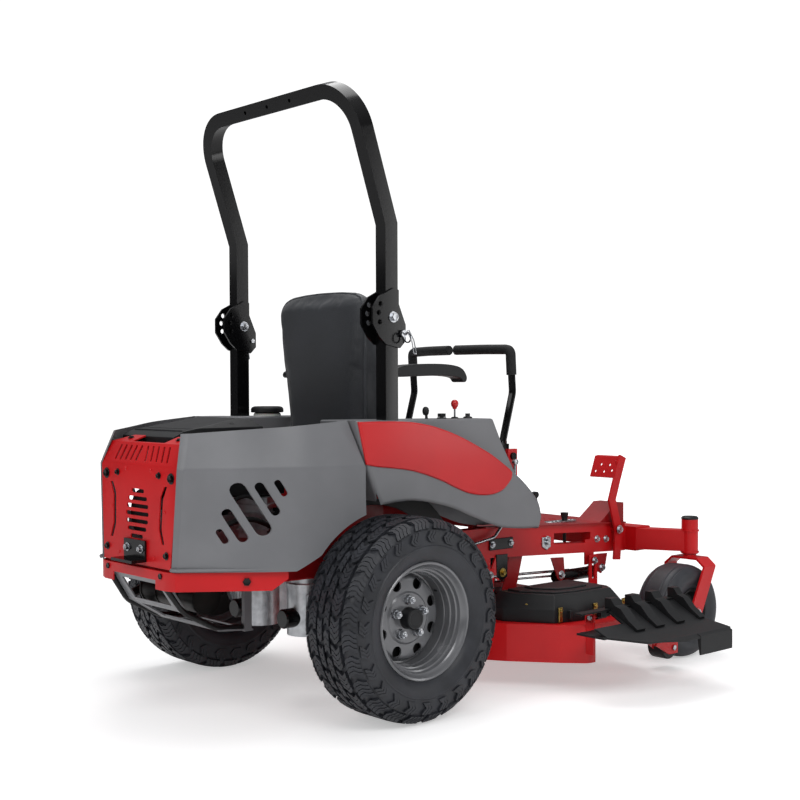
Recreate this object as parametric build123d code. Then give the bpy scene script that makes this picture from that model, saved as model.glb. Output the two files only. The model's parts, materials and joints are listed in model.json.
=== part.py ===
from build123d import *
import math
import os

# Zero turn mower: drive wheels at the back, swivelling casters at the front, a three-blade
# cutting deck slung between them, lap-bar steering and a fold-down roll-over hoop.
# Vehicle frame while modelling: X forward from the rear axle, Y to the left, Z up from the
# ground.  place() moves every finished piece to the middle of the whole machine.

# ---------------------------------------------------------------- running gear
tyre_radius = 298.0
tyre_half_width = 119.0
drive_track_half = 500.0
bead_radius = 155.0
rim_flange_radius = 172.0
rim_half_width = 93.0
rim_wall = 5.0
axle_shaft_radius = 16.0
hand_hole_count = 8
lug_count = 5

caster_radius = 165.0
caster_half_width = 75.0
caster_bead_radius = 76.0
kingpin_x = 1386.0
kingpin_y = 505.0
caster_trail = 76.0
kingpin_radius = 16.0
caster_bolt_radius = 10.0
fork_plate = 8.0
fork_gap = 5.0
hub_bottom = 361.0
hub_top = 485.5
hub_radius = 30.0

# ---------------------------------------------------------------- frame
rail_outer = 300.0
rail_width = 45.0
rail_rear_x = -450.0
rail_front_x = 1270.0
rail_rear_bottom = 410.0
rail_rear_top = 470.0
rail_pan_top = 500.0
rail_nose_top = 465.0
rail_nose_bottom = 362.0
pan_start_x = 530.0
sheet = 5.0
arm_height = 76.0
seat_deck_height = 632.0
seat_deck_rear_x = 60.0
pod_inner = 266.0
pod_outer = 446.0
pod_wall = 4.0
trim_thickness = 4.0
engine_x = -320.0

# ---------------------------------------------------------------- roll-over hoop
rops_y = 390.0
rops_x = 35.0
tube_x = 48.0
tube_y = 45.0
rops_foot = 652.0
rops_pivot_height = 1179.0
rops_bend_height = 1457.0
rops_top = 1854.0
rops_lean = 18.6
rops_corner_radius = 130.0
hinge_plate = 7.0
pivot_bolt_radius = 8.0
lock_pin_radius = 7.0
accessory_hole_radius = 6.0
accessory_hole_pitch = 118.0

filler_x = 102.0
filler_y = 322.0
filler_radius = 28.0

# ---------------------------------------------------------------- seat and controls
seat_hinge_x = 522.0
seat_hinge_height = 648.0
seat_half_width = 235.0
cushion_bottom = 655.0
cushion_top = 800.0
seat_top = 1290.0
armrest_pivot_x = 165.0
armrest_pivot_height = 1015.0
lever_x = 672.0
lever_height = 735.0
lever_y = 251.5
lever_rod_radius = 12.5
lever_shaft_radius = 12.0

# ---------------------------------------------------------------- cutting deck
deck_bottom = 90.0
deck_top = 211.0
deck_wall = 5.0
deck_half_width = 655.0
deck_travel = 55.0
spindle_y = 430.0
spindle_x = 760.0
centre_spindle_x = 870.0
spindle_radius = 12.5
blade_radius = 215.0
blade_height = 108.0
roller_x = 1096.0
roller_y = deck_half_width - 53.0
roller_height = 78.0
roller_radius = 42.0
chute_hinge_y = -deck_half_width - 17.0
chute_hinge_height = 240.0
chute_reach = -deck_half_width - 260.0
hanger_y = 312.0
hanger_places = (540.0, 1070.0)
hanger_pin_height = 346.0
pedal_pivot_x = 1200.0
pedal_pivot_height = 448.0
pedal_side = 318.0

# ---------------------------------------------------------------- fits
running_clearance = 0.06
loose_clearance = 0.5

# ---------------------------------------------------------------- overall extents
hitch_reach = -645.0
middle_x = (hitch_reach + kingpin_x - caster_trail + caster_radius) / 2
middle_y = (deck_half_width + chute_reach) / 2


# ---------------------------------------------------------------- small helpers
def block(x0, x1, y0, y1, z0, z1):
    """A box between two corners."""
    return Pos((x0 + x1) / 2, (y0 + y1) / 2, (z0 + z1) / 2) * Box(x1 - x0, y1 - y0, z1 - z0)


def side_plate(outline, y0, y1):
    """An outline given as X, Z points, extruded from y0 to y1."""
    face = make_face(Polyline([(x, y0, z) for x, z in outline], close=True))
    return extrude(face, amount=y1 - y0, dir=(0, 1, 0))


def plan_plate(outline, z0, z1):
    """An outline given as X, Y points, extruded from z0 to z1."""
    face = make_face(Polyline([(x, y, z0) for x, y in outline], close=True))
    return extrude(face, amount=z1 - z0, dir=(0, 0, 1))


def front_plate(outline, x0, x1):
    """An outline given as Y, Z points, extruded from x0 to x1."""
    face = make_face(Polyline([(x0, y, z) for y, z in outline], close=True))
    return extrude(face, amount=x1 - x0, dir=(1, 0, 0))


def rod(start, end, radius):
    """A round bar between two points."""
    a, b = Vector(*start), Vector(*end)
    return extrude(Plane(origin=a, z_dir=b - a) * Circle(radius), amount=(b - a).length)


def bent_rod(points, radius):
    """A bar through several points, with rounded corners."""
    shape = rod(points[0], points[1], radius)
    for before, after in zip(points[1:], points[2:]):
        shape += rod(before, after, radius) + Pos(*before) * Sphere(radius)
    return shape


def thick_line(points, thickness):
    """The outline of a bent sheet: the points, and back along their offset to the left."""
    moved = []
    for i, (u, v) in enumerate(points):
        before = points[max(i - 1, 0)]
        after = points[min(i + 1, len(points) - 1)]
        n1 = unit_normal(before, points[i]) if i else unit_normal(points[i], after)
        n2 = unit_normal(points[i], after) if i < len(points) - 1 else n1
        scale = thickness / (1 + n1[0] * n2[0] + n1[1] * n2[1])
        moved.append((u + (n1[0] + n2[0]) * scale, v + (n1[1] + n2[1]) * scale))
    return list(points) + moved[::-1]


def unit_normal(a, b):
    """The left-hand normal of the line from a to b."""
    du, dv = b[0] - a[0], b[1] - a[1]
    length = math.hypot(du, dv)
    return -dv / length, du / length


def ring(profile, x, y, z):
    """A profile of radius, axial points turned about the Y axis at a place."""
    face = make_face(Polyline([(r, a, 0) for r, a in profile], close=True))
    return Pos(x, y, z) * revolve(face, Axis.Y, 360)


def around(count, radius, phase=0.0):
    """Points evenly spaced on a circle."""
    turn = 2 * math.pi / count
    angles = [i * turn + phase for i in range(count)]
    return [(radius * math.cos(angle), radius * math.sin(angle)) for angle in angles]


def left(shape):
    """The left-hand twin of a right-hand piece."""
    return mirror(shape, about=Plane.XZ)


def place(shape):
    """From the vehicle frame to the frame in the middle of the machine."""
    return Pos(-middle_x, -middle_y, 0) * shape


def write(name, *solids):
    """One node, of one solid or of several separate ones."""
    parts = [place(solid) for shape in solids for solid in shape.solids()]
    shape = parts[0] if len(parts) == 1 else Compound(parts)
    export_step(shape, f"parts/{name}.step")


# ---------------------------------------------------------------- drive wheels
def drive_tyre(y):
    """A low-pressure turf tyre, open between its beads."""
    wide = tyre_half_width
    outer = [(bead_radius, 26 - wide), (rim_flange_radius, 26 - wide), (195, 7 - wide),
             (tyre_radius - 63, -wide), (tyre_radius - 28, 7 - wide), (tyre_radius, 22 - wide)]
    inner = [(tyre_radius - 14, wide - 31), (tyre_radius - 36, wide - 21), (tyre_radius - 63, wide - 14),
             (195, wide - 21), (rim_flange_radius, wide - 39), (bead_radius, wide - 39)]
    profile = outer + [(r, -a) for r, a in outer[::-1]]
    profile += [(r, a) for r, a in inner[::-1]] + [(r, -a) for r, a in inner]
    return ring(profile, 0, y, tyre_radius)


def drive_rim(y, out):
    """Deep-dished rim with hand holes; out is +1 on the left and -1 on the right."""
    barrel = bead_radius - rim_wall
    flange = rim_half_width + rim_wall
    rim = ring([(barrel, -flange), (rim_flange_radius, -flange), (rim_flange_radius, -rim_half_width),
                (bead_radius, -rim_half_width), (bead_radius, rim_half_width),
                (rim_flange_radius, rim_half_width), (rim_flange_radius, flange), (barrel, flange)],
               0, y, tyre_radius)
    face = out * 12.0
    disc = ring([(axle_shaft_radius, face - 4), (118, face - 4), (barrel, face - out * 30 - 4),
                 (barrel, face - out * 30 + 4), (118, face + 4), (axle_shaft_radius, face + 4)],
                0, y, tyre_radius)
    for x, z in around(hand_hole_count, 104, math.pi / 8):
        disc -= rod((x, y - 60, z + tyre_radius), (x, y + 60, z + tyre_radius), 17)
    return rim + disc


def drive_hub(y, out):
    """Axle shaft with its hub flange behind the disc and its cap in front."""
    inner = y - out * (drive_track_half - 290)
    disc_back, disc_front = y + out * 8, y + out * 16
    shaft = rod((0, inner, tyre_radius), (0, disc_front + out * 12, tyre_radius), axle_shaft_radius)
    flange = rod((0, disc_back - out * 12, tyre_radius), (0, disc_back, tyre_radius), 70)
    cap = rod((0, disc_front, tyre_radius), (0, disc_front + out * 38, tyre_radius), 31)
    nuts = []
    for x, z in around(lug_count, 54, math.pi / 2):
        nuts.append(rod((x, disc_front, z + tyre_radius), (x, disc_front + out * 16, z + tyre_radius), 11))
    return [shaft + flange + cap] + nuts


def transaxle():
    """Right-hand pump, gear case and axle horn; its pulley sits on top of the pump."""
    bore = axle_shaft_radius + running_clearance
    case = rod((0, -175, tyre_radius), (0, -322, tyre_radius), 72)
    case += rod((0, -322, tyre_radius), (0, -372, tyre_radius), 40)
    case += rod((-70, -125, 205), (-70, -125, 350), 62)
    case += block(-110, 40, -210, -105, 235, 335)
    case += block(-60, 60, -253, -190, 300, 408)
    case -= rod((0, -285, tyre_radius), (0, -380, tyre_radius), bore)
    fan = rod((-70, -125, 350), (-70, -125, 366), 66)
    pulley = rod((-70, -125, 366), (-70, -125, 392), 55)
    return [case, fan + pulley]


# ---------------------------------------------------------------- casters
def caster_fork():
    """Right-hand fork: kingpin, sloping shoulders, raked side plates and the axle bolt."""
    axle_x = kingpin_x - caster_trail
    side = caster_half_width + fork_gap
    outside = side + fork_plate
    crown = [(-outside, 318), (-outside, 324), (-55, 351), (55, 351), (outside, 324), (outside, 318),
             (side, 318), (side, 320), (52, 343), (-52, 343), (-side, 320), (-side, 318)]
    fork = front_plate([(y - kingpin_y, z) for y, z in crown], kingpin_x - 34, kingpin_x + 34)
    leg = [(kingpin_x - 34, 318), (kingpin_x + 34, 318), (axle_x + 30, 160), (axle_x + 16, 138),
           (axle_x - 16, 138), (axle_x - 28, 152), (axle_x - 26, 190)]
    for s in (-1, 1):
        y0, y1 = sorted((-kingpin_y + s * side, -kingpin_y + s * outside))
        fork += side_plate(leg, y0, y1)
    fork += rod((kingpin_x, -kingpin_y, 349), (kingpin_x, -kingpin_y, hub_top - 6), kingpin_radius)
    fork += rod((kingpin_x, -kingpin_y, 349), (kingpin_x, -kingpin_y, hub_bottom - 2), 24)
    hole = rod((axle_x, -kingpin_y - 120, caster_radius), (axle_x, -kingpin_y + 120, caster_radius),
               caster_bolt_radius)
    bolt = rod((axle_x, -kingpin_y - outside, caster_radius), (axle_x, -kingpin_y + outside, caster_radius),
               caster_bolt_radius)
    for s in (-1, 1):
        bolt += rod((axle_x, -kingpin_y + s * outside, caster_radius),
                    (axle_x, -kingpin_y + s * (outside + 8), caster_radius), 15)
    return [fork - hole, bolt]


def caster_wheel():
    """Smooth ribbed caster tyre and its dished rim with a bearing tube."""
    axle_x = kingpin_x - caster_trail
    tyre = ring([(caster_bead_radius, -58), (98, -68), (128, -75), (150, -66), (165, -48), (165, 48),
                 (150, 66), (128, 75), (98, 68), (caster_bead_radius, 58)],
                axle_x, -kingpin_y, caster_radius)
    bore = caster_bolt_radius + running_clearance
    rim = ring([(bore, -74), (24, -74), (24, -14), (caster_bead_radius - 5, -30), (caster_bead_radius - 5, -64),
                (caster_bead_radius, -64), (caster_bead_radius, 64), (caster_bead_radius - 5, 64),
                (caster_bead_radius - 5, 30), (24, 14), (24, 74), (bore, 74)],
               axle_x, -kingpin_y, caster_radius)
    return [tyre, rim]


# ---------------------------------------------------------------- frame
def pan_line(x):
    """Height of the rail tops under the foot pan."""
    return rail_pan_top - (x - pan_start_x) * (rail_pan_top - rail_nose_top) / (rail_front_x - pan_start_x)


def frame_rail():
    """Right-hand rail with its window, hanger pins, pedal pivot and lever post."""
    inner = rail_outer - rail_width
    outline = [(rail_rear_x, rail_rear_bottom), (420, rail_rear_bottom - 8), (580, 398),
               (rail_front_x, rail_nose_bottom), (rail_front_x, pan_line(rail_front_x)),
               (pan_start_x, rail_pan_top), (420, rail_pan_top), (330, rail_rear_top),
               (rail_rear_x, rail_rear_top)]
    rail = side_plate(outline, -rail_outer, -inner)
    rail -= side_plate([(880, 418), (1075, 408), (1075, 446), (880, 456)], -rail_outer - 1, -inner + 1)
    rail += block(650, 694, -rail_outer, -rail_outer + 14, 490, lever_height + 24)
    rail -= rod((lever_x, -rail_outer - 1, lever_height), (lever_x, -rail_outer + 15, lever_height),
                lever_shaft_radius + running_clearance)
    for x in hanger_places:
        rail += block(x - 24, x + 24, -rail_outer, -rail_outer + 6, hanger_pin_height - 16, 420)
        rail += rod((x, -rail_outer, hanger_pin_height), (x, -hanger_y - 12, hanger_pin_height), 6)
    rail += rod((pedal_pivot_x, -rail_outer, pedal_pivot_height),
                (pedal_pivot_x, -pedal_side - 14, pedal_pivot_height), 8)
    return rail


def front_axle():
    """Cross tube, sleeves and swept arms that carry the kingpin tubes."""
    z0, z1 = 370.0, 370.0 + arm_height
    beam = block(rail_front_x, rail_front_x + arm_height, -rail_outer, rail_outer, z0, z1)
    for s in (-1, 1):
        sleeve = [(rail_front_x, s * 200), (rail_front_x + arm_height + 6, s * 200),
                  (rail_front_x + arm_height + 12, s * 345), (rail_front_x + 6, s * 345)]
        beam += plan_plate(sleeve, z0 - 6, z1 + 6)
        arm = [(rail_front_x + 6, s * 340), (rail_front_x + arm_height + 6, s * 340),
               (kingpin_x + 26, s * (kingpin_y - 12)), (kingpin_x - 30, s * (kingpin_y - 2))]
        beam += plan_plate(arm, z0, z1)
        beam += rod((kingpin_x, s * kingpin_y, hub_bottom), (kingpin_x, s * kingpin_y, hub_top), hub_radius)
        beam -= rod((kingpin_x, s * kingpin_y, hub_bottom - 1), (kingpin_x, s * kingpin_y, hub_top + 1),
                    kingpin_radius + running_clearance)
    return beam


def engine_frame():
    """Side plates outside the rails, engine base plate, rear cross bar and hoop shelves."""
    plate = [(rail_rear_x, 412), (rail_rear_x, 468), (-330, 512), (-70, 640), (90, 640), (90, 476),
             (-60, 412)]
    frame = side_plate(plate, -rail_outer - 6, -rail_outer)
    frame += side_plate(plate, rail_outer, rail_outer + 6)
    half = [(-120, 300), (rail_rear_x, 290), (-575, 175)]
    base = plan_plate(half + [(x, -y) for x, y in half[::-1]], rail_rear_top, rail_rear_top + 6)
    frame += base - rod((engine_x, 0, 400), (engine_x, 0, 500), 42)
    frame += block(-586, -560, -165, 165, 428, rail_rear_top)
    for s in (-1, 1):
        tongue = [(rail_rear_x, s * 296), (rail_rear_x, s * 256), (-570, s * 140), (-580, s * 165)]
        frame += plan_plate(tongue, 428, rail_rear_top)
    for s in (-1, 1):
        y0, y1 = sorted((s * rail_outer, s * (rops_y + tube_y / 2)))
        frame += block(rops_x - 65, rops_x + 55, y0, y1, rops_foot - 12, rops_foot)
    return frame


def floor_pan():
    """Foot pan with its riser, seat deck, rear leg, foot wedges and small pivot lugs."""
    front = rail_front_x - 8
    pan = side_plate([(pan_start_x, pan_line(pan_start_x)), (front, pan_line(front)),
                      (front, pan_line(front) + sheet), (pan_start_x, pan_line(pan_start_x) + sheet)],
                     -rail_outer - 12, rail_outer + 12)
    deck_top_z = seat_deck_height + sheet
    pan += block(pan_start_x, pan_start_x + sheet, -pod_inner, pod_inner, rail_pan_top, deck_top_z)
    pan += block(seat_deck_rear_x, pan_start_x, -pod_inner, pod_inner, seat_deck_height, deck_top_z)
    pan += block(seat_deck_rear_x, seat_deck_rear_x + sheet, -240, 240, rail_rear_top, seat_deck_height)
    pan += block(seat_deck_rear_x, seat_deck_rear_x + 50, -rail_outer + 4, rail_outer - 4,
                 rail_rear_top, rail_rear_top + sheet)
    for s in (-1, 1):
        for y in (190, 295):
            y0, y1 = sorted((s * y, s * (y + sheet)))
            wedge = [(1130, pan_line(1130)), (1225, 540), (front, 540), (front, pan_line(front))]
            pan += side_plate(wedge, y0, y1)
        y0, y1 = sorted((s * 190, s * 300))
        pan += side_plate([(1132, pan_line(1132)), (1225, 536), (front, 536), (front, 541), (1223, 541),
                           (1126, pan_line(1126) + 3)], y0, y1)
        y0, y1 = sorted((s * 150, s * 156))
        pan += block(seat_hinge_x - 8, pan_start_x + 2, y0, y1, deck_top_z, seat_hinge_height + 8)
    pan += rod((seat_hinge_x, -156, seat_hinge_height), (seat_hinge_x, 156, seat_hinge_height), 5)
    pan += block(788, 812, -283, -277, pan_line(800) + 2, 530)
    pan += rod((800, -277, 518), (800, -296, 518), 5)
    pan -= rod((1005, -238, 400), (1005, -238, 560), 6 + running_clearance)
    for s in (-1, 1):
        pan -= block(648, 696, *sorted((s * (rail_outer - 15), s * (rail_outer + 13))), 480, 520)
    return pan


# ---------------------------------------------------------------- body panels
guard_profile = [(-507, 829), (-558, 811), (-586, 743), (-596, 460)]
guard_half = [(156, 829), (205, 811), (218, 743), (189, 460)]
panel_thickness = 4.0


def slot_xz(x, z, length, width, angle):
    """A rounded slot seen along X, as a cutter through the guard; x is a Y place."""
    cutter = extrude(Plane(origin=(-700, x, z), x_dir=(0, 1, 0), z_dir=(1, 0, 0))
                     * Rot(0, 0, angle) * SlotOverall(length, width), amount=220)
    return cutter


def rear_guard():
    """Folded sheet over the back of the engine, with slanted slots and a louvred round."""
    guard = side_plate(thick_line(guard_profile[::-1], -panel_thickness), -230, 230)
    outline = [(y, z) for y, z in guard_half] + [(-y, z) for y, z in guard_half[::-1]]
    guard &= front_plate(outline, -620, -480)
    guard -= block(-560, -500, -92, 92, 812, 840)
    for i in range(5):
        for s in (-1, 1):
            guard -= slot_xz(s * (22 + 30 * i), 780, 48, 10, 90 + 14 * s)
    for z, length in ((540, 70), (562, 106), (584, 122), (606, 128), (628, 122), (650, 106), (672, 70)):
        guard -= slot_xz(0, z, length, 12, 0)
    for s in (-1, 1):
        mark = [(s * 162, 692), (s * 142, 655), (s * 138, 570), (s * 154, 528), (s * 140, 528),
                (s * 122, 568), (s * 126, 660), (s * 146, 692)]
        guard -= front_plate(mark, -640, -560)
    return guard


panel_path = [(-587, -222), (-570, -243), (-330, -405), (-100, -450)]
panel_lower_path = [(-595, -195), (-582, -216), (-332, -405), (-100, -450)]
panel_upper_path = [(-545, -180), (-515, -218), (-320, -370), (-125, -410)]
# Each slot: centre X, centre Z, length, width.
panel_slots = ((-427, 631, 165, 40), (-388, 659, 104, 24), (-356, 689, 52, 18), (-462, 586, 104, 26),
               (-490, 556, 46, 18))
slot_lean = 62.0


def panel_band(lower, z0, upper, z1):
    """A ruled sheet between two plan paths at two heights."""
    faces = []
    for path, z in ((lower, z0), (upper, z1)):
        outline = thick_line(path, panel_thickness)
        faces.append(make_face(Polyline([(x, y, z) for x, y in outline], close=True)))
    return loft(faces, ruled=True)


def side_panel():
    """Right-hand engine side panel: shoulder crease, tapered plan, raked front edge, slots."""
    panel = panel_band(panel_lower_path, 455, panel_path, 745)
    panel += panel_band(panel_path, 745, panel_upper_path, 878)
    panel -= side_plate([(-136, 900), (-136, 874), (-103, 746), (-46, 620), (-60, 600), (-335, 455), (-335, 430),
                         (0, 430), (0, 900)], -520, -300)
    panel -= side_plate([(-640, 835), (-136, 874), (-136, 900), (-640, 900)], -520, -100)
    panel -= rod((0, -520, tyre_radius), (0, -300, tyre_radius), tyre_radius + 22)
    for x, z, length, width in panel_slots:
        cutter = extrude(Plane(origin=(x, -500, z), x_dir=(1, 0, 0), z_dir=(0, 1, 0)) * Rot(0, 0, slot_lean)
                         * SlotOverall(length, width), amount=280)
        panel -= cutter
    return panel


pod_outer_outline = [(-128, 874), (80, 868), (237, 835), (400, 768), (516, 702), (572, 667), (644, 598), (664, 540),
                     (658, 504), (560, 506), (456, 520), (340, 560), (236, 598), (91, 626), (-38, 620), (-95, 746)]
pod_inner_outline = [(-128, 874), (475, 868), (515, 790), (600, 655), (640, 590), (648, 506), (456, 520), (340, 560),
                     (236, 598), (91, 626), (-38, 620), (-95, 746)]
trim_outline = [(-128, 874), (80, 868), (237, 835), (400, 768), (516, 702), (508, 668), (470, 640), (411, 628),
                (330, 636), (260, 660), (194, 687), (80, 720), (-57, 738), (-95, 746)]


def pod():
    """Right-hand fender pod, hollow and open underneath, with a raised console inside."""
    step = 402.0
    outer = side_plate(pod_outer_outline, -pod_outer, -step)
    inner = side_plate(pod_inner_outline, -step, -pod_inner)
    skin = outer + inner
    hollow_outer = offset(make_face(Polyline([(x, 0, z) for x, z in pod_outer_outline], close=True)), -pod_wall)
    hollow_inner = offset(make_face(Polyline([(x, 0, z) for x, z in pod_inner_outline], close=True)), -pod_wall)
    hollow = Pos(0, -pod_outer + pod_wall, 0) * extrude(hollow_outer, amount=40.0, dir=(0, 1, 0))
    hollow += Pos(0, -step + pod_wall, 0) * extrude(hollow_inner, amount=step - pod_inner - 2 * pod_wall,
                                                     dir=(0, 1, 0))
    bridge = Pos(0, -step - 1, 0) * extrude(hollow_outer, amount=8.0, dir=(0, 1, 0))
    hollow += bridge & (Pos(0, -step - 1, 0) * extrude(hollow_inner, amount=8.0, dir=(0, 1, 0)))
    mouth = side_plate([(-64, 656), (91, 646), (236, 618), (340, 580), (456, 540), (600, 525), (600, 480),
                        (-64, 480)], -pod_outer + 24, -pod_inner - 24)
    post = block(rops_x - tube_x / 2 - 2, rops_x + tube_x / 2 + 2, -rops_y - tube_y / 2 - 2,
                 -rops_y + tube_y / 2 + 2, 640, 900)
    return skin - hollow - mouth - post


def trim():
    """Right-hand coloured fender trim, laid on the pod's outer wall."""
    return side_plate(trim_outline, -pod_outer - trim_thickness, -pod_outer)


def rear_strip():
    """Bumper strip under the guard and panels, with its raised middle and raked ends."""
    half = [(-600, 0), (-600, -170), (-588, -205), (-335, -392)]
    path = half[::-1] + [(x, -y) for x, y in half[1:]]
    strip = plan_plate(thick_line(path, panel_thickness), 400, 454)
    strip -= block(-620, -560, -120, 120, 390, 426)
    for s in (-1, 1):
        strip -= side_plate([(-380, 395), (-330, 395), (-330, 440)], *sorted((s * 300, s * 420)))
    return strip


def under_guard():
    """Bent grey guard below the strip, cut out in the middle, running forward and down."""
    profile = [(-594, 425), (-534, 332), (-420, 262), (-300, 250)]
    guard = side_plate(thick_line(profile, 5), -165, 165)
    guard -= block(-600, -530, -104, 104, 344, 410)
    guard -= block(-520, -440, -104, 104, 262, 345)
    guard -= block(-420, -310, -104, 104, 240, 275)
    for s in (-1, 1):
        y0, y1 = sorted((s * 150, s * 165))
        guard += block(-330, -305, y0, y1, 250, 408)
        guard += block(-330, -305, *sorted((s * 150, s * 254)), 402, 408)
        guard += block(-330, -305, *sorted((s * 248, s * 254)), 402, 420)
    return guard - front_plate([(-300, 420), (300, 420), (300, 500), (-300, 500)], -400, -250)


def hitch_bracket():
    """Angle bracket with a ledge and a hitch hole."""
    bracket = block(-602, -596.5, -60, 60, 478, 532) + block(hitch_reach, -596.5, -60, 60, 470, 478)
    bracket -= rod((hitch_reach + 22, 0, 460), (hitch_reach + 22, 0, 490), 8)
    return bracket - side_plate([(-594, 532), (-590, 400), (-540, 400), (-540, 540)], -70, 70)


# ---------------------------------------------------------------- roll-over hoop
hinge_outline = [(37, 1266), (57, 1260), (57, 1218), (84, 1157), (84, 1109), (62, 1087), (6, 1098), (-20, 1120),
                 (-45, 1157), (-45, 1204), (-19, 1238)]
lock_pin_x = 68.0
lock_pin_height = 1130.0
post_top = rops_pivot_height - 52.0
hoop_foot = rops_pivot_height - 44.0


def rops_post():
    """Right-hand lower post with its pair of hinge plates, drilled for the folded positions."""
    y0, y1 = -rops_y - tube_y / 2, -rops_y + tube_y / 2
    post = block(rops_x - tube_x / 2, rops_x + tube_x / 2, y0, y1, rops_foot, post_top)
    for a, b in ((y0 - hinge_plate - 0.3, y0 - 0.3), (y1 + 0.3, y1 + hinge_plate + 0.3)):
        post += side_plate(hinge_outline, a, b)
    post += block(rops_x - tube_x / 2, rops_x + tube_x / 2, y0 - 0.3, y1 + 0.3, 1090, post_top)
    holes = [(-15, 1216, 8), (-22, 1190, 8), (-18, 1163, 8)]
    holes.append((rops_x, rops_pivot_height, pivot_bolt_radius))
    holes.append((lock_pin_x, lock_pin_height, lock_pin_radius + running_clearance))
    for x, z, radius in holes:
        post -= rod((x, y0 - 30, z), (x, y1 + 30, z), radius)
    return post


def rops_hoop():
    """Square-tube hoop: upright feet, a bend, and a leaning arch with rounded corners."""
    lean = math.radians(rops_lean)
    rise = (rops_top - rops_bend_height) / math.cos(lean)
    overlap = tube_x / 2 * math.tan(lean / 2)
    slope = Plane(origin=(rops_x, 0, rops_bend_height), x_dir=(0, 1, 0),
                  z_dir=(math.cos(lean), 0, math.sin(lean)))
    path = slope * FilletPolyline((-rops_y, -overlap), (-rops_y, rise), (rops_y, rise), (rops_y, -overlap),
                                  radius=rops_corner_radius)
    start = Plane(origin=path @ 0, z_dir=path % 0, x_dir=(0, 1, 0))
    hoop = sweep(start * Rectangle(tube_y, tube_x), path=path)
    for s in (-1, 1):
        y0, y1 = s * rops_y - tube_y / 2, s * rops_y + tube_y / 2
        hoop += block(rops_x - tube_x / 2, rops_x + tube_x / 2, y0, y1, hoop_foot, rops_bend_height + overlap)
        hoop -= rod((rops_x, y0 - 1, rops_pivot_height), (rops_x, y1 + 1, rops_pivot_height),
                    pivot_bolt_radius + running_clearance)
    for k in (-1, 0, 1):
        at = slope * Pos(k * accessory_hole_pitch, rise, -40)
        hoop -= at * extrude(Circle(accessory_hole_radius), amount=80)
    return hoop


def pivot_bolt():
    """Right-hand hoop pivot bolt."""
    y = rops_y + tube_y / 2 + hinge_plate + 0.3
    bolt = rod((rops_x, -y, rops_pivot_height), (rops_x, -2 * rops_y + y, rops_pivot_height), pivot_bolt_radius)
    bolt += rod((rops_x, -y, rops_pivot_height), (rops_x, -y - 8, rops_pivot_height), 13)
    return bolt + rod((rops_x, -2 * rops_y + y, rops_pivot_height),
                      (rops_x, -2 * rops_y + y + 10, rops_pivot_height), 12)


def lock_pin():
    """Right-hand lock pin with its head."""
    outer = rops_y + tube_y / 2 + hinge_plate + 0.3 + 6
    pin = rod((lock_pin_x, -outer, lock_pin_height), (lock_pin_x, -2 * rops_y + outer, lock_pin_height),
              lock_pin_radius)
    return pin + rod((lock_pin_x, -outer, lock_pin_height), (lock_pin_x, -outer - 7, lock_pin_height), 11)


def kingpin_cap():
    """Cap on the right-hand kingpin tube."""
    return rod((kingpin_x, -kingpin_y, hub_top), (kingpin_x, -kingpin_y, hub_top + 5), hub_radius - 1)


# ---------------------------------------------------------------- engine
def engine_block():
    """Crankcase with two finned cylinders set in a V, bored for the crankshaft."""
    base_z = rail_rear_top + 6
    case = block(engine_x - 120, engine_x + 120, -135, 135, base_z, base_z + 120)
    for s in (-1, 1):
        cylinder = Pos(engine_x + 70, s * 115, base_z + 110) * Rot(0, 0, s * -38) * Box(150, 110, 120)
        case += cylinder
        for k in range(4):
            case += (Pos(engine_x + 70, s * 115, base_z + 75 + 24 * k) * Rot(0, 0, s * -38)
                     * Box(162, 124, 5))
    case -= rod((engine_x, 0, base_z - 1), (engine_x, 0, base_z + 200), 20 + running_clearance)
    return case


def engine_shroud():
    """Moulded cooling shroud over the fan, open underneath."""
    base_z = rail_rear_top + 6 + 120
    outline = [(engine_x - 150, -130), (engine_x - 100, -175), (engine_x + 130, -175), (engine_x + 165, -120),
               (engine_x + 165, 120), (engine_x + 130, 175), (engine_x - 100, 175), (engine_x - 150, 130)]
    inside = [(engine_x + (x - engine_x) * 0.96, y * 0.96) for x, y in outline]
    shroud = plan_plate(outline, base_z + 55, base_z + 185) - plan_plate(inside, base_z + 50, base_z + 180)
    for s in (-1, 1):
        shroud += block(engine_x - 100, engine_x - 84, *sorted((s * 100, s * 116)), base_z, base_z + 181)
    return shroud


def crank_drive():
    """Crankshaft with the fan on top and the drive pulley and clutch below."""
    base_z = rail_rear_top + 6
    shaft = rod((engine_x, 0, 385), (engine_x, 0, base_z + 215), 20)
    shaft += rod((engine_x, 0, 392), (engine_x, 0, 440), 66)
    shaft += rod((engine_x, 0, base_z + 205), (engine_x, 0, base_z + 222), 118)
    for x, y in around(8, 80):
        shaft += block(engine_x + x - 5, engine_x + x + 5, y - 22, y + 22, base_z + 220, base_z + 262)
    return shaft


def air_cleaner():
    """Moulded air intake box above the engine, sloping down towards the guard."""
    top = [(-505, 783), (-505, 826), (-470, 842), (-260, 878), (-215, 872), (-185, 850), (-180, 783)]
    body = side_plate(top, -60, 235)
    return body & front_plate([(-60, 783), (-60, 850), (-30, 880), (190, 880), (235, 840), (235, 783)], -520, -170)


def muffler():
    """Cross-mounted silencer under the engine with its outlet pipe and straps."""
    can = rod((-452, -150, 360), (-452, 150, 360), 46)
    can += rod((-452, 150, 360), (-452, 176, 360), 16)
    for s in (-1, 1):
        can += block(-460, -444, s * 90 - 6, s * 90 + 6, 395, rail_rear_top)
    return can


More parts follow.
